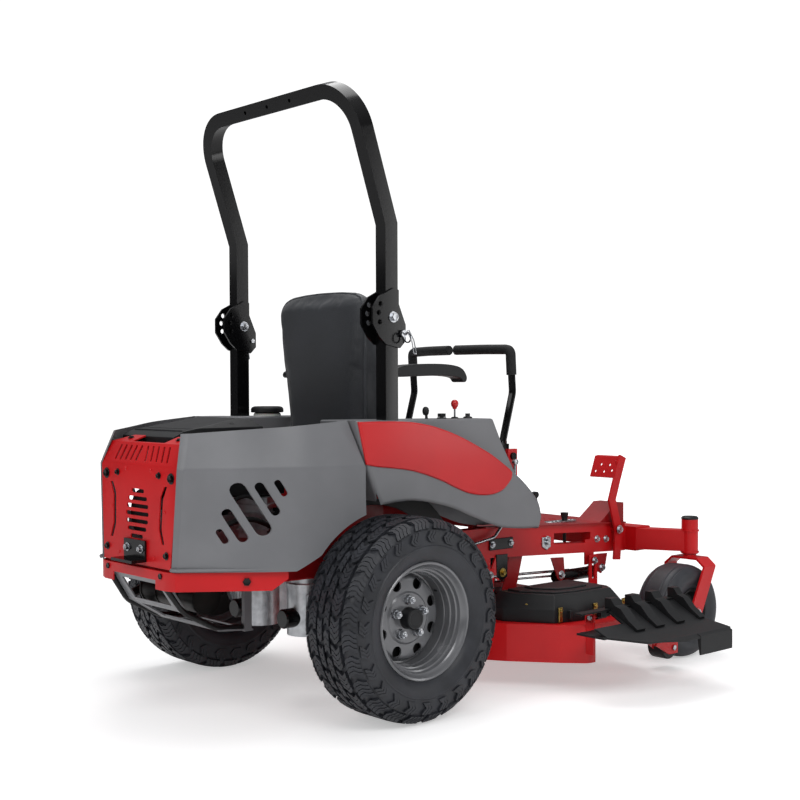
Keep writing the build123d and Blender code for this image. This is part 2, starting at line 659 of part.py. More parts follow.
def fuel_tank(filler):
    """Tank inside the right-hand pod; the filler neck passes through the pod's top."""
    outline = [(68, 658), (100, 655), (240, 632), (360, 590), (400, 590), (400, 700), (330, 742), (68, 742)]
    tank = side_plate(outline, -pod_outer + 24, -pod_inner - 12)
    if filler:
        tank += rod((filler_x, -filler_y, 740), (filler_x, -filler_y, 880), filler_radius)
        tank -= rod((filler_x, -filler_y, 700), (filler_x, -filler_y, 881), filler_radius - 4)
    return tank


def fuel_cap():
    """Screw cap over the filler neck."""
    cap = rod((filler_x, -filler_y, 882), (filler_x, -filler_y, 900), 42)
    cap += rod((filler_x, -filler_y, 876), (filler_x, -filler_y, 882), 40)
    return cap - rod((filler_x, -filler_y, 870), (filler_x, -filler_y, 883), filler_radius + loose_clearance)


# ---------------------------------------------------------------- seat
def seat_base():
    """Seat plate with its hinge ears."""
    z = seat_deck_height + sheet + 2
    base = block(105, 498, -225, 225, z + 4, z + 9)
    for s in (-1, 1):
        y0, y1 = sorted((s * 138, s * 148))
        ear = block(480, seat_hinge_x, y0, y1, z + 3, z + 13)
        base += ear + rod((seat_hinge_x, y0, seat_hinge_height), (seat_hinge_x, y1, seat_hinge_height), 9)
        base -= rod((seat_hinge_x, y0 - 1, seat_hinge_height), (seat_hinge_x, y1 + 1, seat_hinge_height),
                    5 + running_clearance)
    return base


def cushion():
    """Seat cushion, plain."""
    z = seat_deck_height + sheet + 11
    shape = side_plate([(112, z), (505, z), (540, z + 25), (548, 770), (520, cushion_top), (215, cushion_top - 12),
                        (112, cushion_top - 4)], -seat_half_width, seat_half_width)
    shape -= block(470, 560, -160, -130, z - 1, z + 14) + block(470, 560, 130, 160, z - 1, z + 14)
    return shape


def backrest():
    """High back with side bolsters, plain, and its armrest pins."""
    z = seat_deck_height + sheet + 11
    shape = side_plate([(96, z), (111, z), (111, cushion_top), (225, cushion_top), (232, 860), (205, 1000),
                        (180, 1150), (150, 1262), (118, seat_top), (84, seat_top), (60, 1262), (60, 1120),
                        (80, 860)], -228, 228)
    edge = [(208, z), (226, 800), (226, 1130), (222, 1200), (205, 1250), (176, 1278), (140, seat_top)]
    shape &= front_plate([(-y, height) for y, height in edge] + edge[::-1], 40, 260)
    for s in (-1, 1):
        shape += rod((armrest_pivot_x, s * 200, armrest_pivot_height),
                     (armrest_pivot_x, s * 262, armrest_pivot_height), 8)
    return shape


def armrest():
    """Right-hand armrest, turning on the backrest's pin."""
    outline = [(140, -17), (145, 21), (170, 27), (440, 29), (466, 19), (462, -1), (430, -11), (250, -23), (165, -29)]
    pad = side_plate([(x, armrest_pivot_height + rise) for x, rise in outline], -292, -238)
    return pad - rod((armrest_pivot_x, -200, armrest_pivot_height),
                     (armrest_pivot_x, -262.5, armrest_pivot_height), 8 + running_clearance)


# ---------------------------------------------------------------- controls
def lever_pivot():
    """Right-hand lever pivot: control shaft, block and the ears of the swing-out hinge."""
    y0, y1 = -lever_y - 12.5, -lever_y + 12.5
    pivot = rod((lever_x, y0, lever_height), (lever_x, -rail_outer - 8, lever_height), lever_shaft_radius)
    pivot += block(lever_x - 20, lever_x + 20, y0, y1, lever_height - 16, lever_height + 4)
    for a, b in ((lever_x - 20, lever_x - 14), (lever_x + 14, lever_x + 20)):
        pivot += block(a, b, y0, y1, lever_height, lever_height + 40)
    return pivot + rod((lever_x - 20, -lever_y, lever_height + 26), (lever_x + 20, -lever_y, lever_height + 26), 6)


def lap_bar():
    """Right-hand lap bar: clevis foot, upright and the cross grip over the operator's lap."""
    x0, x1 = lever_x - 13.5, lever_x + 13.5
    foot = block(x0, x1, -lever_y - 10, -lever_y + 10, lever_height + 12, lever_height + 52)
    foot -= rod((x0 - 1, -lever_y, lever_height + 26), (x1 + 1, -lever_y, lever_height + 26),
                6 + running_clearance)
    bar = bent_rod([(lever_x, -lever_y, lever_height + 46), (722, -lever_y, 950), (714, -lever_y, 1070),
                    (700, -lever_y + 28, 1098), (678, -16, 1099)], lever_rod_radius)
    return foot + bar


def throttle_lever():
    """Flat lever with a knob, standing in the console slot."""
    lever = side_plate([(247, 842), (257, 842), (252, 884), (244, 884)], -332, -328)
    lever += rod((252, -332, 846), (252, -340, 846), 4)
    return lever + rod((247, -330, 884), (246, -330, 902), 8)


def choke_knob():
    """Pull knob on a thin rod."""
    return rod((372, -330, 838), (372, -330, 906), 3) + rod((372, -330, 900), (372, -330, 922), 10)


def pto_knob():
    """Blade-engagement pull knob."""
    return rod((310, -335, 850), (310, -335, 880), 6) + rod((310, -335, 875), (310, -335, 886), 13)


def ignition_key():
    """Key with its barrel."""
    return rod((430, -330, 850), (430, -330, 872), 6) + block(421, 439, -332, -328, 871, 884)


def brake_handle():
    """Parking brake handle beside the foot pan."""
    handle = side_plate([(790, 512), (810, 512), (806, 560), (800, 606), (790, 606), (792, 560)], -292, -286)
    handle += rod((795, -297, 596), (795, -281, 596), 11)
    return handle - rod((800, -283, 518), (800, -297, 518), 5 + running_clearance)


def height_pin():
    """Cutting-height pin with a tapered knob."""
    pin = rod((1005, -238, 410), (1005, -238, 486), 6)
    knob = loft([Plane.XY.offset(486) * Circle(9), Plane.XY.offset(516) * Circle(15)], ruled=True)
    return pin + Pos(1005, -238, 0) * knob


def lift_pedal():
    """Foot-lift arm with its perforated pad."""
    centre = [(1194, 336), (pedal_pivot_x + 4, pedal_pivot_height), (1168, 556), (1196, 632), (1226, 706)]
    half = 18.0
    outline = thick_line([(x + half, z) for x, z in centre], 2 * half)
    arm = side_plate(outline, -pedal_side - 8, -pedal_side)
    pad = side_plate(thick_line([(1188, 634), (1216, 706), (1232, 708)], 6), -pedal_side - 4, -206)
    for x, z, y in ((1196, 655, -225), (1206, 680, -245), (1196, 655, -265), (1206, 680, -285), (1198, 660, -300)):
        pad -= rod((x - 40, y, z + 12), (x + 40, y, z - 12), 5)
    return arm + pad - rod((pedal_pivot_x, -pedal_side - 20, pedal_pivot_height),
                           (pedal_pivot_x, -pedal_side + 2, pedal_pivot_height), 8 + running_clearance)


# ---------------------------------------------------------------- cutting deck
deck_right = [(385, -290), (480, -455), (586, 67 - deck_half_width), (650, -deck_half_width),
              (985, -deck_half_width), (1048, 80 - deck_half_width), (1070, -430), (1105, -290)]
deck_outline = deck_right + [(x, -y) for x, y in deck_right[::-1]]


def deck_shell():
    """Deck pan with its walls, chute opening, spindle bosses, hangers, lugs and roller brackets."""
    outside = make_face(Polyline([(x, y, 0) for x, y in deck_outline], close=True))
    outside = fillet(outside.vertices(), 40)
    inside = offset(outside, -deck_wall)
    shell = Pos(0, 0, deck_bottom) * extrude(outside, amount=deck_top - deck_bottom, dir=(0, 0, 1))
    shell -= Pos(0, 0, deck_bottom - 1) * extrude(inside, amount=deck_top - deck_bottom + 1 - 6, dir=(0, 0, 1))
    shell -= block(680, 985, -deck_half_width - 20, -deck_half_width + 30, deck_bottom - 5, deck_top - 16)
    for x, y in ((spindle_x, -spindle_y), (centre_spindle_x, 0), (spindle_x, spindle_y)):
        shell += rod((x, y, 150), (x, y, deck_top + 8), 46)
        shell -= rod((x, y, 140), (x, y, deck_top + 20), spindle_radius + running_clearance)
    for x in hanger_places:
        for s in (-1, 1):
            y0, y1 = sorted((s * hanger_y, s * (hanger_y + 6)))
            link = block(x - 22, x + 22, y0, y1, deck_top, hanger_pin_height + 20)
            slot = block(x - 7, x + 7, y0 - 1, y1 + 1, hanger_pin_height - deck_travel - 10, hanger_pin_height)
            slot += rod((x, y0 - 1, hanger_pin_height), (x, y1 + 1, hanger_pin_height), 7)
            shell += link - slot
    for x in (640, 1012):
        shell += block(x, x + 10, -deck_half_width - 24, -deck_half_width + 10, deck_top - 6, chute_hinge_height + 8)
    for s in (-1, 1):
        y0, y1 = sorted((s * (roller_y + 42), s * (roller_y + 49)))
        shell += side_plate([(940, 205), (1010, 205), (roller_x + 22, 110), (roller_x + 22, 58),
                             (roller_x - 24, 58), (940, 130)], y0, y1)
        y0, y1 = sorted((s * (roller_y - 38), s * (roller_y + 44)))
        shell += rod((roller_x, y0, roller_height), (roller_x, y1, roller_height), 8)
    return shell


def deck_hinge_rod():
    """Rod that the chute turns on."""
    return rod((632, chute_hinge_y, chute_hinge_height), (1030, chute_hinge_y, chute_hinge_height), 5)


def belt_cover():
    """Right-hand belt cover: a tapered open-bottomed box over the spindle pulley."""
    base = [(505, -340), (500, -420), (590, -560), (700, -585), (900, -585), (930, -540), (930, -340)]
    cx, cy = 715.0, -455.0

    def ringed(scale, z):
        points = [(cx + (x - cx) * scale, cy + (y - cy) * scale, z) for x, y in base]
        return make_face(Polyline(points, close=True))

    lower = extrude(ringed(1.0, deck_top), amount=42, dir=(0, 0, 1))
    upper = loft([ringed(1.0, deck_top + 42), ringed(0.82, deck_top + 88)], ruled=True)
    inner = extrude(ringed(0.97, deck_top - 1), amount=44, dir=(0, 0, 1))
    inner += loft([ringed(0.97, deck_top + 43), ringed(0.80, deck_top + 84)], ruled=True)
    return lower + upper - inner


def spindle(x, y, turn):
    """Blade spindle: shaft, pulley above the deck and blade below."""
    shape = rod((x, y, blade_height), (x, y, deck_top + 34), spindle_radius)
    shape += rod((x, y, deck_top + 10), (x, y, deck_top + 32), 62)
    blade = Pos(x, y, blade_height + 3) * Rot(0, 0, turn) * Box(2 * blade_radius - 6, 62, 6)
    wing = Pos(x, y, blade_height + 12) * Rot(0, 0, turn)
    for s in (-1, 1):
        blade += wing * Pos(s * (blade_radius - 46), s * 27, 0) * Box(78, 6, 18)
    return shape + blade + rod((x, y, blade_height - 12), (x, y, blade_height), 18)


def roller(s):
    """Anti-scalp roller on the deck's front corner."""
    y0, y1 = sorted((s * (roller_y - 32), s * (roller_y + 32)))
    wheel = rod((roller_x, y0, roller_height), (roller_x, y1, roller_height), roller_radius)
    return wheel - rod((roller_x, y0 - 1, roller_height), (roller_x, y1 + 1, roller_height),
                       8 + running_clearance)


def chute():
    """Discharge deflector: stepped skirt, four webs, turned-down lip and hinge knuckles.

    It is drawn about a hinge at one place and then moved to the deck's edge.
    """
    drawn_hinge_y, drawn_reach = -672, -915
    profile = [(drawn_hinge_y - 2, chute_hinge_height + 16), (-700, 258), (-800, 205), (-898, 190),
               (drawn_reach, 182)]
    plan = [(548, -664), (562, -800), (650, -885), (800, -912), (930, drawn_reach), (1062, -900), (1062, -664)]
    skin = front_plate(thick_line(profile, 6), 500, 1100) & plan_plate(plan, 100, 320)
    skin -= block(540, 660, -690, -660, 230, 300) + block(540, 690, -790, -660, 225, 320)
    skin += front_plate([(-900, 190), (drawn_reach, 184), (drawn_reach, 124), (-909, 124)], 880, 1050)
    skin += block(548, 700, -800, -690, 199, 205)
    for x, width in ((700, 42), (800, 42), (905, 42), (1026, 30)):
        skin += front_plate([(-676, 296), (-700, 296), (-716, 276), (-740, 268), (-770, 236), (-806, 212), (-800, 200),
                             (-700, 252), (-676, 252)], x, x + width)
    for x in (662, 955):
        skin += rod((x, drawn_hinge_y, chute_hinge_height), (x + 44, drawn_hinge_y, chute_hinge_height), 9)
        skin += block(x, x + 44, drawn_hinge_y - 20, drawn_hinge_y - 2, chute_hinge_height, chute_hinge_height + 16)
    skin -= rod((600, drawn_hinge_y, chute_hinge_height), (1100, drawn_hinge_y, chute_hinge_height),
                5 + running_clearance)
    return Pos(0, chute_hinge_y - drawn_hinge_y, 0) * skin


def controls_cut(shape):
    """Slot and holes for the console controls in the right-hand pod."""
    shape -= block(226, 276, -333, -327, 850, 880)
    for x, y, radius in ((372, -330, 3), (310, -335, 6), (430, -330, 6)):
        shape -= rod((x, y, 850), (x, y, 880), radius + running_clearance)
    return shape


def filler_hole():
    """Hole for the filler neck in a pod's top."""
    return rod((filler_x, -filler_y, 850), (filler_x, -filler_y, 890), filler_radius)


# ---------------------------------------------------------------- write every node
def main():
    os.makedirs("parts", exist_ok=True)
    for side, s in (("right", -1), ("left", 1)):
        hand = left if s > 0 else (lambda shape: shape)
        y = s * drive_track_half
        write(f"rear_tyre_{side}", drive_tyre(y))
        write(f"rear_rim_{side}", drive_rim(y, s), *drive_hub(y, s))
        write(f"transaxle_{side}", *[hand(p) for p in transaxle()])
        write(f"caster_fork_{side}", *[hand(p) for p in caster_fork()])
        write(f"caster_wheel_{side}", *[hand(p) for p in caster_wheel()])
        write(f"frame_rail_{side}", hand(frame_rail()))
        write(f"side_panel_{side}", hand(side_panel()))
        write(f"rops_post_{side}", hand(rops_post()))
        write(f"lock_pin_{side}", hand(lock_pin()))
        write(f"armrest_{side}", hand(armrest()))
        write(f"lever_pivot_{side}", hand(lever_pivot()))
        write(f"lap_bar_{side}", hand(lap_bar()))
    write("fender_right", controls_cut(pod()))
    write("fender_left", left(pod() - filler_hole()))
    write("fender_trims", trim(), left(trim()))
    write("front_axle", front_axle())
    write("engine_frame", engine_frame())
    write("floor_pan", floor_pan())
    write("rear_guard", rear_guard())
    write("rear_strip", rear_strip())
    write("under_guard", under_guard())
    write("hitch_bracket", hitch_bracket())
    write("rops_hoop", rops_hoop())
    write("frame_bolts", pivot_bolt(), left(pivot_bolt()), kingpin_cap(), left(kingpin_cap()))
    write("engine_block", engine_block())
    write("engine_shroud", engine_shroud())
    write("crank_drive", crank_drive())
    write("air_cleaner", air_cleaner())
    write("muffler", muffler())
    write("fuel_tanks", fuel_tank(False), left(fuel_tank(True)))
    write("fuel_cap", left(fuel_cap()))
    write("seat_base", seat_base())
    write("seat_cushion", cushion())
    write("seat_back", backrest())
    write("throttle_lever", throttle_lever())
    write("choke_knob", choke_knob())
    write("pto_knob", pto_knob())
    write("ignition_key", ignition_key())
    write("brake_handle", brake_handle())
    write("height_pin", height_pin())
    write("lift_pedal", lift_pedal())
    write("deck_shell", deck_shell(), deck_hinge_rod())
    write("belt_covers", belt_cover(), left(belt_cover()))
    write("spindle_right", spindle(spindle_x, -spindle_y, 12))
    write("spindle_centre", spindle(centre_spindle_x, 0, 12))
    write("spindle_left", spindle(spindle_x, spindle_y, 12))
    write("deck_rollers", roller(-1), roller(1))
    write("discharge_chute", chute())


main()
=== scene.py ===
import bpy
import json
import math
from mathutils import Matrix, Vector


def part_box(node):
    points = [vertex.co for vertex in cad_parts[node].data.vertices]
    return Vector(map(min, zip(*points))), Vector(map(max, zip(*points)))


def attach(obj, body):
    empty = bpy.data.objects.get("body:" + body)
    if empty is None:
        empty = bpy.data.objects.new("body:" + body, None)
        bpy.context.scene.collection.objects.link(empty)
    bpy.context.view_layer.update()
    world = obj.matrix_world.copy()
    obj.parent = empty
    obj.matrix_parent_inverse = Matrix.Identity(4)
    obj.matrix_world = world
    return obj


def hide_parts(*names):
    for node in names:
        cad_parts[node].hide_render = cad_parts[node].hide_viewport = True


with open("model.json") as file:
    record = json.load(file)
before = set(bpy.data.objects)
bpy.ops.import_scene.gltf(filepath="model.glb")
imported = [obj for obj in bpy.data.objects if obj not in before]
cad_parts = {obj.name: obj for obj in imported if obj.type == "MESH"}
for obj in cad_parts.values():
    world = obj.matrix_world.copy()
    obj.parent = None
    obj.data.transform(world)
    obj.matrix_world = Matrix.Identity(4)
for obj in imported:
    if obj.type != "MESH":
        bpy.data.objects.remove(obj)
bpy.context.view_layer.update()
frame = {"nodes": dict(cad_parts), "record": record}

# Zero turn mower.  Every piece is modelled in the mower's own millimetres: X forward from the
# rear axle, Y to the left from the middle of the track, Z up from the ground.  seat_piece()
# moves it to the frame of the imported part.
MM = 0.001
RIM_RIGHT, RIM_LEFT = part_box("rear_rim_right"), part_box("rear_rim_left")
ORIGIN = Vector(((RIM_RIGHT[0].x + RIM_RIGHT[1].x) / 2, (RIM_RIGHT[0].y + RIM_LEFT[1].y) / 2, 0))
AXLE_HEIGHT = (RIM_RIGHT[0].z + RIM_RIGHT[1].z) / 2 / MM


# ------------------------------------------------------------------ materials
def linear(colour):
    """sRGB hex to linear RGBA."""
    parts = [int(colour[i:i + 2], 16) / 255 for i in (1, 3, 5)]
    return tuple(c / 12.92 if c <= 0.04045 else ((c + 0.055) / 1.055) ** 2.4 for c in parts) + (1.0,)


def add(tree, kind, values=None, links=None, **settings):
    """Adds one node; values and links are keyed by the input socket's name or number."""
    made = tree.nodes.new(kind)
    for key, value in settings.items():
        setattr(made, key, value)
    for key, value in (values or {}).items():
        made.inputs[key].default_value = value
    for key, source in (links or {}).items():
        tree.links.new(source, made.inputs[key])
    return made


def per_mm(size):
    """Pattern scale, in repeats per metre, of a feature of this many millimetres."""
    return 1 / (size * MM)


def finish(name, light, dark, patch, roughness, spread=0.06, grain=0.0, grain_size=6.0, depth=0.3, **surface):
    """A surface whose colour drifts between two tones over patches, with a grain in its relief."""
    material = bpy.data.materials.new(name)
    material.use_nodes = True
    tree = material.node_tree
    tree.nodes.clear()
    place = add(tree, "ShaderNodeTexCoord").outputs["Object"]
    drift = add(tree, "ShaderNodeTexNoise", {"Scale": per_mm(patch), "Detail": 4.0}, {"Vector": place})
    ramp = add(tree, "ShaderNodeValToRGB", links={"Fac": drift.outputs["Fac"]})
    ramp.color_ramp.elements[0].position = 0.35
    ramp.color_ramp.elements[0].color = linear(dark)
    ramp.color_ramp.elements[1].position = 0.65
    ramp.color_ramp.elements[1].color = linear(light)
    sheen = add(tree, "ShaderNodeMapRange",
                {"To Min": max(roughness - spread, 0.02), "To Max": roughness + spread},
                {"Value": drift.outputs["Fac"]})
    shader = add(tree, "ShaderNodeBsdfPrincipled", surface,
                 {"Base Color": ramp.outputs["Color"], "Roughness": sheen.outputs["Result"]})
    if grain:
        fine = add(tree, "ShaderNodeTexNoise", {"Scale": per_mm(grain_size), "Detail": 3.0}, {"Vector": place})
        relief = add(tree, "ShaderNodeBump", {"Strength": grain, "Distance": depth * MM},
                     {"Height": fine.outputs["Fac"]})
        tree.links.new(relief.outputs["Normal"], shader.inputs["Normal"])
    add(tree, "ShaderNodeOutputMaterial", links={"Surface": shader.outputs["BSDF"]})
    return material


# Powder-coated steel sheet: baked polyester, so a bright even skin with a faint orange peel.
red_powder_coat = finish("red_powder_coated_steel", "#D3151A", "#C41016", 260, 0.34, 0.05, 0.16, 9,
                         **{"Specular IOR Level": 0.35, "Coat Weight": 0.06, "Coat Roughness": 0.15})
# Painted shade: the same coat made a deeper red for plates that stand in the machine's shade.
red_coat_painted_shade = finish("red_powder_coat_painted_shade", "#A80D14", "#8E0A10", 180, 0.38, 0.06, 0.16, 9,
                       **{"Specular IOR Level": 0.35, "Coat Weight": 0.06, "Coat Roughness": 0.2})
# Injection-moulded ASA fender skin, gloss moulded in: wet-looking red with a soft long gradient.
red_gloss_asa = finish("red_gloss_asa_moulding", "#D01A1F", "#C2151A", 320, 0.30, 0.05, 0.08, 14,
                       **{"Specular IOR Level": 0.4, "Coat Weight": 0.15, "Coat Roughness": 0.12})
# Rotomoulded polyethylene, satin grey, with the slight flow and pebble that the mould leaves.
grey_polyethylene = finish("grey_satin_polyethylene", "#7A7B7E", "#717275", 220, 0.40, 0.06, 0.22, 7,
                           **{"Coat Weight": 0.08, "Coat Roughness": 0.3})
# Stamped steel rim, stoved grey enamel: smooth and glossy, with long bright streaks in the dish.
grey_enamel = finish("grey_stoved_enamel_steel", "#76777A", "#6C6D70", 140, 0.26, 0.05, 0.06, 10,
                     **{"Metallic": 0.2, "Coat Weight": 0.45, "Coat Roughness": 0.1})
# Gloss black chassis enamel: dark body, sharp highlights along each rounded corner.
black_enamel = finish("black_gloss_enamel_steel", "#0B0B0C", "#070708", 200, 0.18, 0.04, 0.06, 12,
                      **{"Specular IOR Level": 0.3, "Coat Weight": 0.08, "Coat Roughness": 0.08})
# Matt black enamel under the machine, dulled by handling.
black_matt_enamel = finish("black_matt_enamel_steel", "#141415", "#0D0D0E", 90, 0.48, 0.1, 0.2, 8,
                            **{"Specular IOR Level": 0.35})
# Moulded glass-filled nylon and polypropylene covers: satin black with a spark-eroded texture.
black_polypropylene = finish("black_textured_polypropylene", "#191A1C", "#111214", 120, 0.46, 0.08, 0.4, 5,
                             **{"Specular IOR Level": 0.4})
# Closed-cell foam sleeve on the bars: soft, dull, slightly pitted.
black_foam = finish("black_foam_rubber", "#18191A", "#101112", 40, 0.72, 0.08, 0.5, 4, depth=0.5)
# Moulded EPDM deflector: dull black rubber with a grey bloom.
epdm_rubber = finish("black_moulded_epdm", "#18191B", "#101113", 110, 0.52, 0.1, 0.35, 6,
                     **{"Specular IOR Level": 0.4})
# Carbon-black tyre compound: blue-grey bloom on the walls, duller in the grooves.
tyre_compound = finish("carbon_black_tyre_rubber", "#2E3036", "#212328", 70, 0.50, 0.1, 0.45, 5,
                       **{"Coat Weight": 0.06, "Coat Roughness": 0.35})
# Bright zinc plate on fasteners and rods: white metal with a cloudy passivated film.
zinc_plate = finish("bright_zinc_plated_steel", "#C9CBCE", "#A6A9AE", 14, 0.28, 0.1, 0.1, 5, Metallic=1.0)
# Yellow-passivated zinc on small clips and springs.
yellow_zinc = finish("yellow_passivated_zinc", "#B9A05A", "#8F7A42", 12, 0.34, 0.1, 0.1, 5, Metallic=1.0)
# Die-cast aluminium of the transmissions and engine: pale, open-grained, sand-cast skin.
cast_aluminium = finish("cast_aluminium", "#D6D9DC", "#ABAEB2", 35, 0.36, 0.1, 0.6, 5, Metallic=0.9)
# Natural polyethylene of the fuel tank's neck: milky, waxy, a little translucent.
natural_polyethylene = finish("natural_milky_polyethylene", "#DADAD6", "#CDCDC8", 60, 0.45, 0.05, 0.1, 6,
                              **{"Subsurface Weight": 0.1})
# Heat-blackened mild steel of the silencer.
sooted_steel = finish("heat_blackened_steel", "#292523", "#151413", 60, 0.46, 0.12, 0.3, 6, Metallic=0.7)
# Hardened blade steel, ground on its edges.
blade_steel = finish("hardened_blade_steel", "#6E7073", "#4B4D50", 50, 0.36, 0.1, 0.3, 6, Metallic=0.9)
# Red-dipped PVC knob: bright, waxy.
red_pvc = finish("red_dipped_pvc", "#D91F23", "#C81A1E", 60, 0.28, 0.04, 0.1, 8,
                 **{"Coat Weight": 0.3, "Coat Roughness": 0.15})
# Painted shade inside the engine bay: castings and covers made near-black for the shade they stand in.
bay_painted_shade = finish("engine_bay_painted_shade", "#17181A", "#0B0C0C", 45, 0.6, 0.1, 0.5, 6)


def vinyl(name, light, dark):
    """Embossed leathercloth: PVC on a knit, with a pebble of shallow cells and creases."""
    material = finish(name, light, dark, 180, 0.50, 0.05)
    tree = material.node_tree
    shader = next(n for n in tree.nodes if n.type == "BSDF_PRINCIPLED")
    place = add(tree, "ShaderNodeTexCoord").outputs["Object"]
    # The emboss is about 2 mm on the seat; it is drawn at 6 mm so that it shows.
    cells = add(tree, "ShaderNodeTexVoronoi", {"Scale": per_mm(6)}, {"Vector": place}, feature="DISTANCE_TO_EDGE")
    edge = add(tree, "ShaderNodeMapRange", {"From Max": 0.25}, {"Value": cells.outputs["Distance"]})
    relief = add(tree, "ShaderNodeBump", {"Strength": 0.35, "Distance": 0.4 * MM}, {"Height": edge.outputs["Result"]})
    tree.links.new(relief.outputs["Normal"], shader.inputs["Normal"])
    shader.inputs["Sheen Weight"].default_value = 0.15
    return material


charcoal_vinyl = vinyl("charcoal_embossed_vinyl", "#2D3035", "#26292D")
# Lighter grey piping: partly the welts' own vinyl, partly a painted highlight along the seat's rounded edges.
piping_vinyl_painted_highlight = vinyl("vinyl_piping_painted_highlight", "#3E4146", "#34373B")

CAD_FINISH = {
    "red_paint": red_powder_coat, "dark_red_paint": red_coat_painted_shade, "grey_body": grey_polyethylene,
    "rim_grey": grey_enamel, "black_paint": black_enamel, "black_plastic": black_polypropylene,
    "chute_rubber": epdm_rubber, "zinc": zinc_plate, "cast_alloy": cast_aluminium,
    "tyre_rubber": tyre_compound, "vinyl": charcoal_vinyl, "red_knob": red_pvc, "blade_steel": blade_steel,
}

NODE_SLOT = {part["node"]: part["material_slot"] for part in frame["record"]["subparts"]}
FINISH_SLOT = {material.name: slot for slot, material in CAD_FINISH.items()}
for material, slot in ((red_gloss_asa, "red_paint"), (black_matt_enamel, "black_paint"), (black_foam, "black_plastic"),
                       (bay_painted_shade, "black_plastic"), (sooted_steel, "cast_alloy"), (yellow_zinc, "zinc"),
                       (natural_polyethylene, "grey_body"), (piping_vinyl_painted_highlight, "vinyl")):
    FINISH_SLOT[material.name] = slot


def paint(piece, material):
    """Gives a whole piece, or a CAD node, one material."""
    if not piece.material_slots:
        piece.data.materials.append(material)
    for held in piece.material_slots:
        held.material = material


# ------------------------------------------------------------------ modelling helpers
def clear():
    """Nothing selected, object mode."""
    if bpy.context.object and bpy.context.object.mode != "OBJECT":
        bpy.ops.object.mode_set(mode="OBJECT")
    bpy.ops.object.select_all(action="DESELECT")


def pick(piece):
    """Only this piece selected and active."""
    clear()
    piece.select_set(True)
    bpy.context.view_layer.objects.active = piece


def edit(piece, *steps):
    """Runs edit-mode steps on all of a piece."""
    pick(piece)
    bpy.ops.object.mode_set(mode="EDIT")
    bpy.ops.mesh.select_all(action="SELECT")
    for step in steps:
        step()
    bpy.ops.object.mode_set(mode="OBJECT")


def outward():
    """Turns the selected faces outwards."""
    bpy.ops.mesh.normals_make_consistent(inside=False)


def weld():
    """Merges points that lie together."""
    bpy.ops.mesh.remove_doubles(threshold=0.02 * MM)


def in_plane(axis, u, v, along):
    """A point from two places across an axis and one along it; X takes Y, Z; Y takes X, Z; Z takes X, Y."""
    spot = {"X": (along, u, v), "Y": (u, along, v), "Z": (u, v, along)}[axis]
    return Vector(spot) * MM


def slab(axis, outline, low, high):
    """A plate: an outline laid across an axis and drawn out along it."""
    clear()
    bpy.ops.mesh.primitive_circle_add(vertices=len(outline), radius=MM, fill_type="NGON")
    plate = bpy.context.object
    for vertex, (u, v) in zip(plate.data.vertices, outline):
        vertex.co = in_plane(axis, u, v, low)
    reach = in_plane(axis, 0, 0, high - low)
    edit(plate, lambda: bpy.ops.mesh.extrude_region_move(TRANSFORM_OT_translate={"value": reach}),
         lambda: bpy.ops.mesh.select_all(action="SELECT"), outward)
    return plate


def box(x0, x1, y0, y1, z0, z1):
    """A block between two corners."""
    return slab("Z", [(x0, y0), (x1, y0), (x1, y1), (x0, y1)], z0, z1)


def turned(axis, profile, centre, steps=48):
    """A closed profile of radius, along-axis points spun about an axis through a centre."""
    clear()
    bpy.ops.mesh.primitive_circle_add(vertices=len(profile), radius=MM, fill_type="NOTHING")
    lathe = bpy.context.object
    for vertex, (radius, along) in zip(lathe.data.vertices, profile):
        vertex.co = in_plane(axis, radius, 0, along) + Vector(centre) * MM
    direction = in_plane(axis, 0, 0, 1 / MM)
    middle = Vector(centre) * MM
    edit(lathe, lambda: bpy.ops.mesh.spin(steps=steps, angle=2 * math.pi, center=middle, axis=direction),
         lambda: bpy.ops.mesh.select_all(action="SELECT"), weld,
         lambda: bpy.ops.mesh.dissolve_degenerate(threshold=0.01 * MM),
         lambda: bpy.ops.mesh.select_all(action="SELECT"), outward)
    return lathe


def disc(axis, centre, radius, low, high, steps=24, edge=0.0):
    """A round bar or boss along an axis, with its rims eased."""
    rim = [(radius - edge, low), (radius, low + edge)] if edge else [(radius, low)]
    rim += [(radius, high - edge), (radius - edge, high)] if edge else [(radius, high)]
    return turned(axis, [(0, low)] + rim + [(0, high)], centre, steps)


def nut(axis, centre, radius, low, high):
    """A hexagon head with a turned-down washer face."""
    return turned(axis, [(0, low), (radius, low), (radius, high - 1.5), (radius - 2, high), (0, high)], centre, 6)


def pipe(points, radius, steps=10):
    """A round bar or hose along points, its corners rounded by a smooth curve."""
    clear()
    bpy.ops.curve.primitive_nurbs_path_add()
    path = bpy.context.object
    path.data.splines.clear()
    spline = path.data.splines.new("NURBS")
    spline.points.add(len(points) - 1)
    for target, point in zip(spline.points, points):
        target.co = (*(Vector(point) * MM), 1)
    spline.order_u = 3
    spline.use_endpoint_u = True
    path.data.dimensions = "3D"
    path.data.bevel_depth = radius * MM
    path.data.bevel_resolution = max(steps // 4, 1)
    path.data.resolution_u = steps
    path.data.use_fill_caps = True
    bpy.ops.object.convert(target="MESH")
    return bpy.context.object


def bar(points, radius, bend, steps=10):
    """A bent bar: straight runs with a control point held close to each side of every corner."""
    held = [points[0]]
    for before, corner, after in zip(points, points[1:], points[2:]):
        here = Vector(corner)
        for other in (before, after):
            run = Vector(other) - here
            held.append(here + run.normalized() * min(bend, run.length * 0.45))
        held.insert(-1, corner)
    return pipe([tuple(p) for p in held + [points[-1]]], radius, steps)


def modify(piece, kind, **settings):
    """Adds one modifier and applies it."""
    pick(piece)
    modifier = piece.modifiers.new(kind.title(), kind)
    for key, value in settings.items():
        setattr(modifier, key, value)
    bpy.ops.object.modifier_apply(modifier=modifier.name)
    return piece


